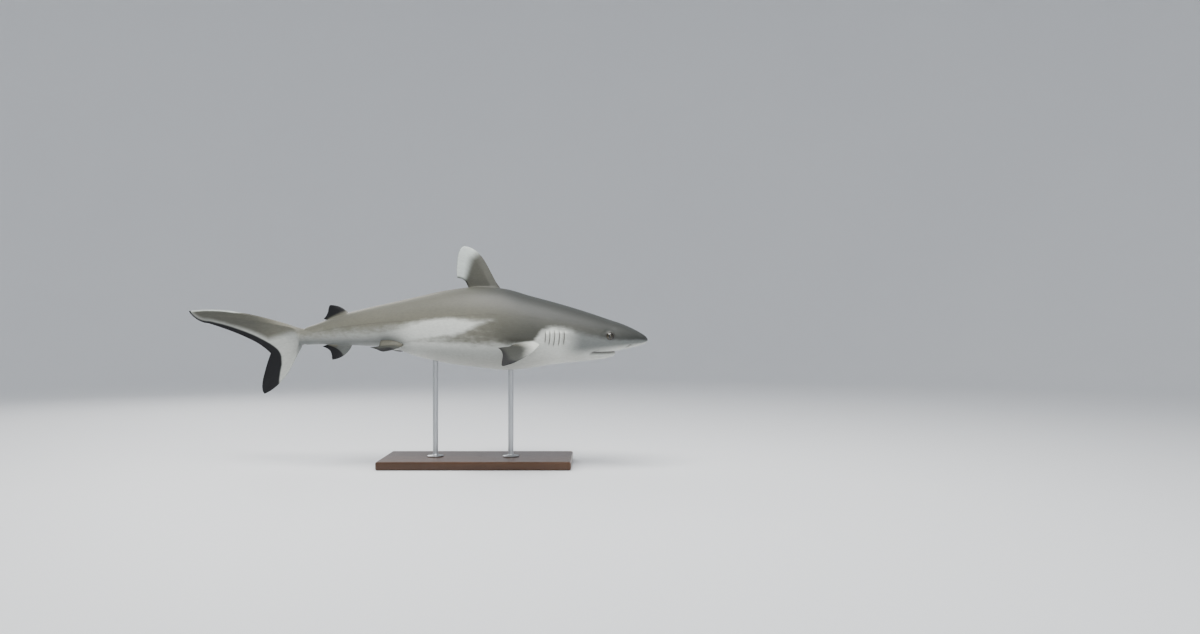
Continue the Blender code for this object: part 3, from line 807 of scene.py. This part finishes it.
def finFacts(name, fin):
    dark, dull = finColours.get(name, finColours["paired"])
    fromFront = lambda flat: edgeDistance(flat, lambda t: fin["surface"](0 * t, t))

    def tell(flat, u, v, sign):
        s, z = flat[..., 0] + fin["start"], flat[..., 1]
        rear = edgeDistance(flat, fin["trailing"])
        shade = darkness(s) + finColours["rootShade"].get(name, 0)
        facts = {**plainFacts, "finU": u, "finV": v, "dark": mix(shade, dark, ease(v / 0.3)),
                 "dull": mix(dullnessAndShade(s, z), dull, ease(v / 0.3))}
        if name == "firstDorsal":
            white = finColours["paleEdge"] * ease((v - 0.1) / 0.75) + finColours["paleTip"] * v ** 2
            facts["pale"] = (white - rear) / 1.9
        elif name == "secondDorsal":
            cap = finColours["capHeight"] + 0.4 * (1 - u)
            facts["black"] = (z - profile(s)[0] - cap) / 0.3
        elif name == "anal":
            facts["grey"] = -0.35 + 4 * ease((u - 0.5) / 0.3)
            facts["black"] = (finColours["analEdge"] * ease((v - 0.1) / 0.45) - rear) / 0.4
        elif name == "caudal":
            band = tableAt(z, finColours["band"]) * tableAt(s, finColours["bandShare"])
            facts["black"] = (band - rear) / 0.25
            beside = rear - band - tableAt(s, finColours["beside"])
            grey = np.minimum((z - tableAt(s, finColours["border"])) / 1.1, beside / 0.8)
            end = np.full_like(z, layout["bodyEnd"])
            facts["grey"] = mix(greyEdge(end, z), np.maximum(grey, -0.8), ease(v / 0.25))
            shade = darkness(s) + backShade(end, z) * (1 - ease(v / 0.3))
            facts["dark"] = mix(shade, dark, ease((s - 77) / 9))
            facts["pale"] = (finColours["whiteFront"] - fromFront(flat)) / 0.16 - 3 * ease((90 - s) / 5)
        else:
            # the pectoral's upper side is white near the root and the leading edge as a painted highlight
            # and grey beyond, darkening outwards partly as its dusky tone and partly as painted shade; the
            # pelvics are grey above, and both are white below with dark edges and tips
            pectoral, upper = name.startswith("pectoral"), sign > 0
            facts["grey"] = (3.2 * (0.75 * u + v - 0.45) if pectoral else 5.0) if upper else -5.0
            size = 1.0 if pectoral else finColours["pelvicShare"]
            edge = size * (0.35 + 1.9 * (1 - u) ** 1.4) - rear
            tip = np.linalg.norm(flat - fin["trailing"](0.0), axis=-1)
            facts["black"] = np.maximum(edge, finColours["pairedTip"] * size - tip) / (0.7 * size)
        return facts

    return tell


def openSlit(skin, fin, index, upperLip, facts):
    # moves one lip of a fin's slit and adds the other
    first, last = fin["rings"]
    s = stations[first:last + 1]
    angle = np.full_like(s, fin["angle"])
    turn = rootWidth(fin, s) / perRadian(s, angle)
    inner = slice(first + 1, last)
    here = index[inner, fin["column"]]
    skin.points[0][here] = bodySection(s, angle - turn)[1:-1]
    fresh = skin.add(bodySection(s, angle + turn)[1:-1], **{k: f[here] for k, f in facts.items()})
    upperLip[inner, fin["column"]] = fresh
    minus = index[first:last + 1, fin["column"]]
    return (s - s[0]) / (s[-1] - s[0]), (np.concatenate((minus[:1], fresh, minus[-1:])), minus)


def buildSkin():
    skin = Skin()
    points, around, fold = bodyGrid()
    facts = {k: np.broadcast_to(f, around.shape).reshape(-1) for k, f in bodyFacts(points, fold).items()}
    index = skin.add(points, **facts).reshape(around.shape)
    tip = bodySection(np.array([0.0]), np.array([math.pi / 2]))
    nose = skin.add(tip, **{k: f[:1] for k, f in facts.items()})[0]
    upperLip = index.copy()  # of the faces after each column
    for name, fin in finSet.items():
        u, lips = openSlit(skin, fin, index, upperLip, facts)
        half = fin["sizes"]["half"]
        fin.update(rows=fin["sizes"]["rows"], fray=half, gather=0.8)
        growFin(skin, fin, lips, u, lambda a, b: finHalf(half, a, b), flareAt, finFacts(name, fin))
    here, there = upperLip, np.roll(index, -1, axis=1)
    skin.quads(here[:-1], there[:-1], there[1:], here[1:])
    half = len(angles) // 2
    left = index[-1, :half + 1]
    right = np.concatenate((index[-1, :1], index[-1, :half - 1:-1]))
    tail = {**caudalFin(), "rows": caudal["rows"], "fray": 0.6, "gather": 0.0}
    u = angles[:half + 1] / math.pi
    for share in caudal["shares"][1:-1]:  # a column runs to each corner
        u[np.argmin(np.abs(u - share))] = share
    growFin(skin, tail, (left, right), u, caudalHalf, lambda a, b: 0 * a, finFacts("caudal", tail))
    caps = [(int(nose), int(b), int(a)) for a, b in zip(index[0], np.roll(index[0], -1))]
    return skin, caps


def evened(points, quads):
    # relaxes the join between the body and the tail fin
    pairs = np.concatenate([quads[:, [i, (i + 1) % 4]] for i in range(4)])
    count = np.maximum(np.bincount(pairs.reshape(-1), minlength=len(points)), 1)[:, None]
    amount = 0.5 * np.minimum(1, 1.6 * hump(points[:, 0], slits["join"], slits["joinWidth"]))[:, None]
    for _ in range(slits["rounds"]):
        total = np.zeros_like(points)
        np.add.at(total, pairs[:, 0], points[pairs[:, 1]])
        np.add.at(total, pairs[:, 1], points[pairs[:, 0]])
        points = points + amount * (total / count - points)
    return points


def addObject(name, mesh):
    made = bpy.data.objects.new(name, mesh)
    bpy.context.collection.objects.link(made)
    return made


def writeAttribute(mesh, name, values, kind="FLOAT", field="value"):
    made = mesh.attributes.new(name, kind, "POINT")
    made.data.foreach_set(field, np.asarray(values, dtype=np.float32).reshape(-1))


def skinObject():
    skin, caps = buildSkin()
    faces = np.concatenate(skin.faces)
    points = evened(np.concatenate(skin.points), faces)
    mesh = bpy.data.meshes.new("skin")
    mesh.from_pydata(toWorld(points).tolist(), [], faces.tolist() + caps)
    for name in skin.facts[0]:
        writeAttribute(mesh, name, np.concatenate([part[name] for part in skin.facts]))
    writeAttribute(mesh, "layoutPlace", points, "FLOAT_VECTOR", "vector")
    work = bmesh.new()
    work.from_mesh(mesh)
    bmesh.ops.recalc_face_normals(work, faces=work.faces)
    work.to_mesh(mesh)
    crowded = sum(len(edge.link_faces) != 2 for edge in work.edges)
    print("skin made: %d faces, %d open or crowded edges" % (len(work.faces), crowded))
    tree = BVHTree.FromBMesh(work)
    work.free()
    mesh.validate()
    mesh.shade_smooth()
    return addObject("skin", mesh), tree


skin, skinTree = skinObject()


# Shader helpers

def fill(tree, socket, value):
    if isinstance(value, bpy.types.NodeSocket):
        tree.links.new(value, socket)
    else:
        socket.default_value = (*value, 1) if socket.type == "RGBA" else value


def node(tree, kind, inputs=None, **settings):
    made = tree.nodes.new(kind)
    for name, value in settings.items():
        setattr(made, name, value)
    for name, value in (inputs or {}).items():
        fill(tree, made.inputs[name], value)
    return made


def calculate(tree, operation, *values):
    return node(tree, "ShaderNodeMath", dict(enumerate(values)), operation=operation).outputs[0]


def times(tree, first, second):
    return calculate(tree, "MULTIPLY", first, second)


def sloped(tree, value, slope, start):
    return calculate(tree, "MULTIPLY_ADD", value, slope, start)


def stepBetween(tree, value, low, high):
    return node(tree, "ShaderNodeMapRange", {"Value": value, "From Min": low, "From Max": high},
                interpolation_type="SMOOTHSTEP").outputs[0]


def blendColours(tree, share, first, second, way="MIX"):
    return node(tree, "ShaderNodeMix", {0: share, 6: first, 7: second},
                data_type="RGBA", blend_type=way).outputs[2]


def attribute(tree, name, output="Fac"):
    return node(tree, "ShaderNodeAttribute", attribute_name=name).outputs[output]


def stretched(tree, vector, scale):
    return node(tree, "ShaderNodeMapping", {"Vector": vector, "Scale": scale}).outputs[0]


def objectPlace(tree):
    return node(tree, "ShaderNodeTexCoord").outputs["Object"]


def bumped(tree, height, strength, distance):
    return node(tree, "ShaderNodeBump", {"Height": height, "Strength": strength,
                                         "Distance": distance}).outputs[0]


def newMaterial(name):
    made = bpy.data.materials.new(name)
    made.use_nodes = True
    return made, made.node_tree


def finished(made, values):
    # the shader's own inputs: what the nodes give, and plain numbers
    tree = made.node_tree
    for name, value in values.items():
        fill(tree, tree.nodes["Principled BSDF"].inputs[name], value)
    return made


def unevenGroup():
    # soft blotches and fine grain, used by every material
    tree = bpy.data.node_groups.new("uneven", "ShaderNodeTree")
    for name, kind in (("Place", "Vector"), ("Blotch Size", "Float"), ("Grain Size", "Float")):
        tree.interface.new_socket(name, in_out="INPUT", socket_type="NodeSocket" + kind)
    for name in ("Blotches", "Grain"):
        tree.interface.new_socket(name, in_out="OUTPUT", socket_type="NodeSocketFloat")
    start, end = tree.nodes.new("NodeGroupInput"), tree.nodes.new("NodeGroupOutput")
    for size, result, detail in (("Blotch Size", "Blotches", 5.0), ("Grain Size", "Grain", 2.0)):
        noise = node(tree, "ShaderNodeTexNoise", {
            "Vector": start.outputs["Place"], "Detail": detail, "Roughness": 0.55,
            "Scale": calculate(tree, "DIVIDE", 1.0, start.outputs[size])})
        tree.links.new(noise.outputs["Fac"], end.inputs[result])
    return tree


uneven = unevenGroup()


def unevenness(tree, place, blotchSize, grainSize):
    made = node(tree, "ShaderNodeGroup", node_tree=uneven)
    for name, value in (("Place", place), ("Blotch Size", blotchSize), ("Grain Size", grainSize)):
        fill(tree, made.inputs[name], value)
    return made.outputs["Blotches"], made.outputs["Grain"]


# Skin's finish

skinFinish = {
    "grey": (0.168, 0.168, 0.140), "greyDark": (0.050, 0.053, 0.049), "bronze": (0.225, 0.212, 0.165),
    # cheek is the greyed white: the cheeks' own tone, and the painted shade under the belly, on the tail and
    # on the anal fin
    "white": (0.62, 0.63, 0.59), "paleFin": (0.58, 0.62, 0.59), "cheek": (0.180, 0.190, 0.182),
    # the fold colour is painted shade: it is laid dark into the gill slits, the mouth's groove and furrows,
    # the nostrils and the skin inside the lids
    "black": (0.012, 0.012, 0.014), "fold": (0.05, 0.035, 0.032), "foldShare": 0.85,
    "blotch": 5.0, "grain": 0.30, "denticle": 0.055,  # percent of the length
    "edgeGrain": 0.7, "edgeWobble": 1.1, "finSteadiness": 0.75,
    "freckles": 0.30, "rayColour": 0.22, "lineColour": -0.17, "poreColour": -0.34,
    "pore": 0.24, "poreDepth": -3.0, "rays": 40.0, "rayDepth": 1.6,
    "bump": 0.13, "bumpDepth": 0.0007, "roughness": (0.42, 0.16), "coat": 0.10, "coatRoughness": 0.38,
}


def sharkSkin():
    made, tree = newMaterial("sharkSkin")
    place = attribute(tree, "layoutPlace", "Vector")
    lengthwise = stretched(tree, place, (0.4, 1, 1))
    blotches, grain = unevenness(tree, lengthwise, skinFinish["blotch"], skinFinish["grain"])
    _, ragged = unevenness(tree, lengthwise, 3.0, skinFinish["edgeGrain"])
    onFin = stepBetween(tree, attribute(tree, "finV"), 0.02, 0.3)
    wobble = sloped(tree, ragged, skinFinish["edgeWobble"], -skinFinish["edgeWobble"] / 2)
    wobble = times(tree, wobble, sloped(tree, onFin, -skinFinish["finSteadiness"], 1.0))

    def shareOf(name, shift, reach):
        return stepBetween(tree, calculate(tree, "ADD", attribute(tree, name), shift), -reach, reach)

    grey = blendColours(tree, blotches, skinFinish["grey"], skinFinish["bronze"])
    grey = blendColours(tree, attribute(tree, "dark"), grey, skinFinish["greyDark"])
    # the white greys towards the cheek colour, as the cheeks' own tone and as painted shade under the belly,
    # the tail and the anal fin
    white = blendColours(tree, attribute(tree, "dull"), skinFinish["white"], skinFinish["cheek"])
    colour = blendColours(tree, shareOf("grey", wobble, 0.9), white, grey)
    pale = shareOf("pale", times(tree, wobble, 0.4), 1.0)
    colour = blendColours(tree, pale, colour, skinFinish["paleFin"])
    colour = blendColours(tree, shareOf("black", wobble, 0.9), colour, skinFinish["black"])

    finPlace = node(tree, "ShaderNodeCombineXYZ", {
        0: times(tree, attribute(tree, "finU"), skinFinish["rays"]),
        1: times(tree, attribute(tree, "finV"), 2.0)}).outputs[0]
    _, rays = unevenness(tree, finPlace, 3.0, 1.0)
    rays = times(tree, calculate(tree, "SUBTRACT", rays, 0.5), onFin)
    dots = node(tree, "ShaderNodeTexVoronoi", {"Vector": place, "Scale": 1 / skinFinish["pore"]}).outputs[0]
    dots = times(tree, stepBetween(tree, dots, 0.24, 0.14), attribute(tree, "pores"))
    shade = sloped(tree, grain, skinFinish["freckles"], 1 - skinFinish["freckles"] / 2)
    shade = sloped(tree, rays, skinFinish["rayColour"], shade)
    shade = sloped(tree, attribute(tree, "line"), skinFinish["lineColour"], shade)
    shade = sloped(tree, dots, skinFinish["poreColour"], shade)
    shade = node(tree, "ShaderNodeCombineColor", {0: shade, 1: shade, 2: shade}).outputs[0]
    colour = blendColours(tree, 1.0, colour, shade, "MULTIPLY")
    # painted shade in the gill slits, the mouth's groove and furrows, the nostrils and inside the lids
    recessShades = times(tree, attribute(tree, "fold"), skinFinish["foldShare"])
    colour = blendColours(tree, recessShades, colour, skinFinish["fold"])

    cells = node(tree, "ShaderNodeTexVoronoi", {
        "Vector": stretched(tree, place, (0.7, 1, 1)), "Scale": 1 / skinFinish["denticle"]})
    height = sloped(tree, grain, 0.5, cells.outputs["Distance"])
    height = sloped(tree, dots, skinFinish["poreDepth"], height)
    height = sloped(tree, rays, skinFinish["rayDepth"], height)
    smooth, rougher = skinFinish["roughness"]
    return finished(made, {
        "Base Color": colour, "Roughness": sloped(tree, blotches, rougher, smooth),
        "Normal": bumped(tree, height, skinFinish["bump"], skinFinish["bumpDepth"]),
        "Coat Weight": skinFinish["coat"], "Coat Roughness": skinFinish["coatRoughness"]})


skin.data.materials.append(sharkSkin())
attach(skin, "root")
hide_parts(*[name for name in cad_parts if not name.startswith(("eye", "stand"))])


# Eyes

eyeFinish = {
    "iris": (0.030, 0.027, 0.017), "irisEdge": (0.010, 0.010, 0.009), "irisPale": (0.070, 0.060, 0.036),
    "pupil": (0.004, 0.004, 0.005), "irisRadius": 0.0112, "pupilWide": 0.0024, "pupilTall": 0.0072,
    "cornea": 0.0009, "segments": 64, "rows": 44,
}


def eyeBall(side, word):
    low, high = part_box("eye_" + word)
    centre, radius = (low + high) / 2, (high.z - low.z) / 2
    outward = (Vector(toWorld(eyePlace(side))) - centre).normalized()
    forward = Vector(bend((0, 0, 0)) - bend((10, 0, 0)))
    forward = (forward - outward * forward.dot(outward)).normalized()
    upward = outward.cross(forward) if side < 0 else forward.cross(outward)
    work = bmesh.new()
    bmesh.ops.create_uvsphere(work, u_segments=eyeFinish["segments"], v_segments=eyeFinish["rows"],
                              radius=radius)
    places = []
    for vert in work.verts:
        x, y, z = vert.co
        swell = eyeFinish["cornea"] * math.exp(-((x * x + y * y) / (0.5 * radius) ** 2)) if z > 0 else 0
        places.append((x, y, z))
        vert.co = centre + forward * x + upward * y + outward * (z + swell)
    bmesh.ops.recalc_face_normals(work, faces=work.faces)
    mesh = bpy.data.meshes.new("eyeBall_" + word)
    work.to_mesh(mesh)
    work.free()
    writeAttribute(mesh, "gaze", places, "FLOAT_VECTOR", "vector")
    mesh.shade_smooth()
    made = addObject("eyeBall_" + word, mesh)
    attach(made, "root")
    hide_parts("eye_" + word)
    return made


def eyeSurface():
    made, tree = newMaterial("eyeSurface")
    x, y, _ = node(tree, "ShaderNodeSeparateXYZ", {0: attribute(tree, "gaze", "Vector")}).outputs
    square = lambda value: calculate(tree, "POWER", value, 2.0)
    away = calculate(tree, "SQRT", calculate(tree, "ADD", square(x), square(y)))
    radial = node(tree, "ShaderNodeCombineXYZ", {
        0: calculate(tree, "ARCTAN2", y, x), 1: times(tree, away, 60.0)}).outputs[0]
    streaks, flecks = unevenness(tree, radial, 0.5, 0.12)
    iris = blendColours(tree, stepBetween(tree, flecks, 0.35, 0.7), eyeFinish["iris"], eyeFinish["irisPale"])
    edge = stepBetween(tree, away, eyeFinish["irisRadius"] * 0.72, eyeFinish["irisRadius"])
    colour = blendColours(tree, edge, iris, eyeFinish["irisEdge"])
    across = square(calculate(tree, "DIVIDE", x, eyeFinish["pupilWide"]))
    upwards = square(calculate(tree, "DIVIDE", y, eyeFinish["pupilTall"]))
    pupil = stepBetween(tree, calculate(tree, "ADD", across, upwards), 1.15, 0.85)
    colour = blendColours(tree, pupil, colour, eyeFinish["pupil"])
    return finished(made, {"Base Color": colour, "Roughness": sloped(tree, streaks, 0.1, 0.08),
                           "Coat Weight": 1.0, "Coat Roughness": 0.03})


eyeMaterial = eyeSurface()
for side, word in ((1, "left"), (-1, "right")):
    eyeBall(side, word).data.materials.append(eyeMaterial)
print("eyes made")


# Stand

standFinish = {
    "wood": (0.115, 0.052, 0.022), "woodMiddle": (0.080, 0.036, 0.016), "woodDark": (0.040, 0.018, 0.009),
    "stretch": (0.55, 7.0, 7.0), "ringScale": 0.75, "woodGrain": 0.014,
    "steel": (0.56, 0.57, 0.58), "steelShade": (0.52, 0.53, 0.55),
}


def standWood():
    made, tree = newMaterial("standWood")
    along = stretched(tree, objectPlace(tree), standFinish["stretch"])
    blotches, grain = unevenness(tree, along, 0.5, standFinish["woodGrain"])
    rings = node(tree, "ShaderNodeTexWave", {
        "Vector": along, "Scale": standFinish["ringScale"], "Distortion": 11.0, "Detail": 4.0,
        "Detail Scale": 1.4}, wave_type="BANDS", bands_direction="Y").outputs["Fac"]
    colour = blendColours(tree, rings, standFinish["woodMiddle"], standFinish["wood"])
    pores = stepBetween(tree, grain, 0.62, 0.72)
    for share, amount in ((blotches, 0.5), (pores, 0.6)):
        colour = blendColours(tree, times(tree, share, amount), colour, standFinish["woodDark"])
    return finished(made, {"Base Color": colour, "Roughness": sloped(tree, grain, 0.25, 0.25),
                           "Normal": bumped(tree, grain, 0.12, 0.0005),
                           "Coat Weight": 0.5, "Coat Roughness": 0.15})


def standSteel():
    made, tree = newMaterial("standSteel")
    blotches, grain = unevenness(tree, stretched(tree, objectPlace(tree), (1.0, 1.0, 9.0)), 2.0, 0.6)
    colour = blendColours(tree, blotches, standFinish["steel"], standFinish["steelShade"])
    return finished(made, {"Base Color": colour, "Roughness": sloped(tree, grain, 0.05, 0.28),
                           "Metallic": 1.0})


def turned(line, sides, centre):
    # points and faces of a shape turned about an upright axis, from its foot's middle
    x, y, z = centre
    turns = [2 * math.pi * i / sides for i in range(sides)]
    points = [centre] + [(x + r * math.cos(a), y + r * math.sin(a), z + h) for r, h in line for a in turns]
    faces = [(0, 1 + (i + 1) % sides, 1 + i) for i in range(sides)]
    for row in range(len(line) - 1):
        for i in range(sides):
            here, after = 1 + row * sides + i, 1 + row * sides + (i + 1) % sides
            faces.append((here, after, after + sides, here + sides))
    return points, faces


def turnedMesh(name, points, faces, material):
    mesh = bpy.data.meshes.new(name)
    mesh.from_pydata(points, [], faces)
    mesh.shade_smooth()
    mesh.materials.append(material)
    return mesh


rods = {"radius": 0.009, "flange": 0.0036, "neck": 0.0126, "foot": 0.006, "round": 0.0009,
        "hollowSteps": 8, "sides": 48, "clear": 0.0003, "sharp": 35}


def turnedRod(word, finish):
    # a turned foot and rod, its top shaped to the belly above it
    low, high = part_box("stand_rod_" + word)
    middle = (low + high) / 2
    wide, edge, flange = (high.x - low.x) / 2, rods["round"], rods["flange"]
    reach, steps = rods["neck"] - rods["radius"], rods["hollowSteps"]
    line = [(wide - edge, 0.0), (wide, edge), (wide, flange - edge), (wide - edge, flange),
            (rods["neck"] + 0.3 * reach, rods["foot"])]
    for turn in [math.pi / 2 * i / steps for i in range(1, steps + 1)]:
        line.append((rods["neck"] - reach * math.sin(turn), rods["foot"] * (2 - math.cos(turn))))
    line.append((rods["radius"], 0.0))

    def bellyOver(x, y):
        hit = skinTree.ray_cast(Vector((x, y, middle.z)), Vector((0, 0, 1)))[0]
        return x, y, hit.z - rods["clear"]

    sides = rods["sides"]
    points, faces = turned(line, sides, (middle.x, middle.y, low.z))
    points[-sides:] = [bellyOver(x, y) for x, y, _ in points[-sides:]]
    last = len(points)
    points.append(bellyOver(middle.x, middle.y))
    faces += [(last, last - sides + i, last - sides + (i + 1) % sides) for i in range(sides)]
    mesh = turnedMesh("rod_" + word, points, faces, finish)
    mesh.set_sharp_from_angle(angle=math.radians(rods["sharp"]))
    made = addObject("rod_" + word, mesh)
    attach(made, "root")
    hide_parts("stand_rod_" + word)


woodMaterial, steelMaterial = standWood(), standSteel()
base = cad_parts["stand_base"]
base.data.materials.clear()
base.data.materials.append(woodMaterial)
for word in ("front", "rear"):
    turnedRod(word, steelMaterial)
print("stand finished")


# Studio

studio = {
    "radius": 8.5, "height": 7.0, "bend": 3.2, "sides": 96, "turns": 24, "floorRings": 6,
    "floor": (0.80, 0.81, 0.82), "floorShade": (0.77, 0.78, 0.80),
    "sky": (0.92, 0.95, 1.0), "skyStrength": 0.62, "exposure": -0.3,
    # name, place, size, strength, colour; each light looks at the fish
    "lamps": (("overhead", (0.1, -0.9, 3.6), 3.0, 175.0, (1.0, 0.99, 0.96)),
              ("front", (1.6, -3.6, 1.9), 2.4, 30.0, (0.93, 0.97, 1.0)),
              ("behind", (-1.8, 2.6, 2.2), 2.0, 36.0, (1.0, 0.98, 0.95))),
}


def studioPaint():
    made, tree = newMaterial("studioFloor")
    blotches, grain = unevenness(tree, objectPlace(tree), 1.5, 0.02)
    colour = blendColours(tree, blotches, studio["floor"], studio["floorShade"])
    return finished(made, {"Base Color": colour, "Roughness": sloped(tree, grain, 0.1, 0.6)})


def backdrop():
    # round floor that curves up into a wall on every side
    bent, turns = studio["bend"], studio["turns"]
    flat = studio["radius"] - bent
    line = [(flat * i / studio["floorRings"], 0.0) for i in range(1, studio["floorRings"])]
    for turn in [math.pi / 2 * i / turns for i in range(turns + 1)]:
        line.append((flat + bent * math.sin(turn), bent * (1 - math.cos(turn))))
    line.append((studio["radius"], studio["height"]))
    points, faces = turned(line, studio["sides"], (0.0, 0.0, 0.0))
    inward = [face[::-1] for face in faces]
    addObject("backdrop", turnedMesh("backdrop", points, inward, studioPaint()))


def aim(thing, target):
    thing.rotation_euler = (Vector(target) - thing.location).to_track_quat("-Z", "Y").to_euler()


backdrop()
fishMiddle = (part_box("trunk_front")[0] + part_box("trunk_rear")[1]) / 2
for name, place, size, strength, colour in studio["lamps"]:
    light = bpy.data.lights.new(name, "AREA")
    light.shape = "DISK"
    light.size = size
    light.energy = strength
    light.color = colour
    lamp = addObject(name, light)
    lamp.location = place
    aim(lamp, fishMiddle)

scene = bpy.context.scene
scene.world = bpy.data.worlds.new("studioAir")
scene.world.use_nodes = True
sky = scene.world.node_tree.nodes["Background"]
fill(scene.world.node_tree, sky.inputs["Color"], studio["sky"])
fill(scene.world.node_tree, sky.inputs["Strength"], studio["skyStrength"])
scene.view_settings.view_transform = "AgX"
scene.view_settings.look = "AgX - Medium High Contrast"
scene.view_settings.exposure = studio["exposure"]
print("studio made")


# Camera: level and square to the fish, with clear space ahead of it

cameraPlace = {"ahead": 0.4148, "away": 3.9657, "above": 0.0816, "lens": 35.0, "sensor": 36.0}


def makeCamera():
    camera = bpy.data.cameras.new("camera")
    camera.lens = cameraPlace["lens"]
    camera.sensor_width = cameraPlace["sensor"]
    made = addObject("camera", camera)
    made.location = (cameraPlace["ahead"], -cameraPlace["away"], origin.z + cameraPlace["above"])
    made.rotation_euler = (math.radians(90), 0, 0)
    scene.camera = made


makeCamera()
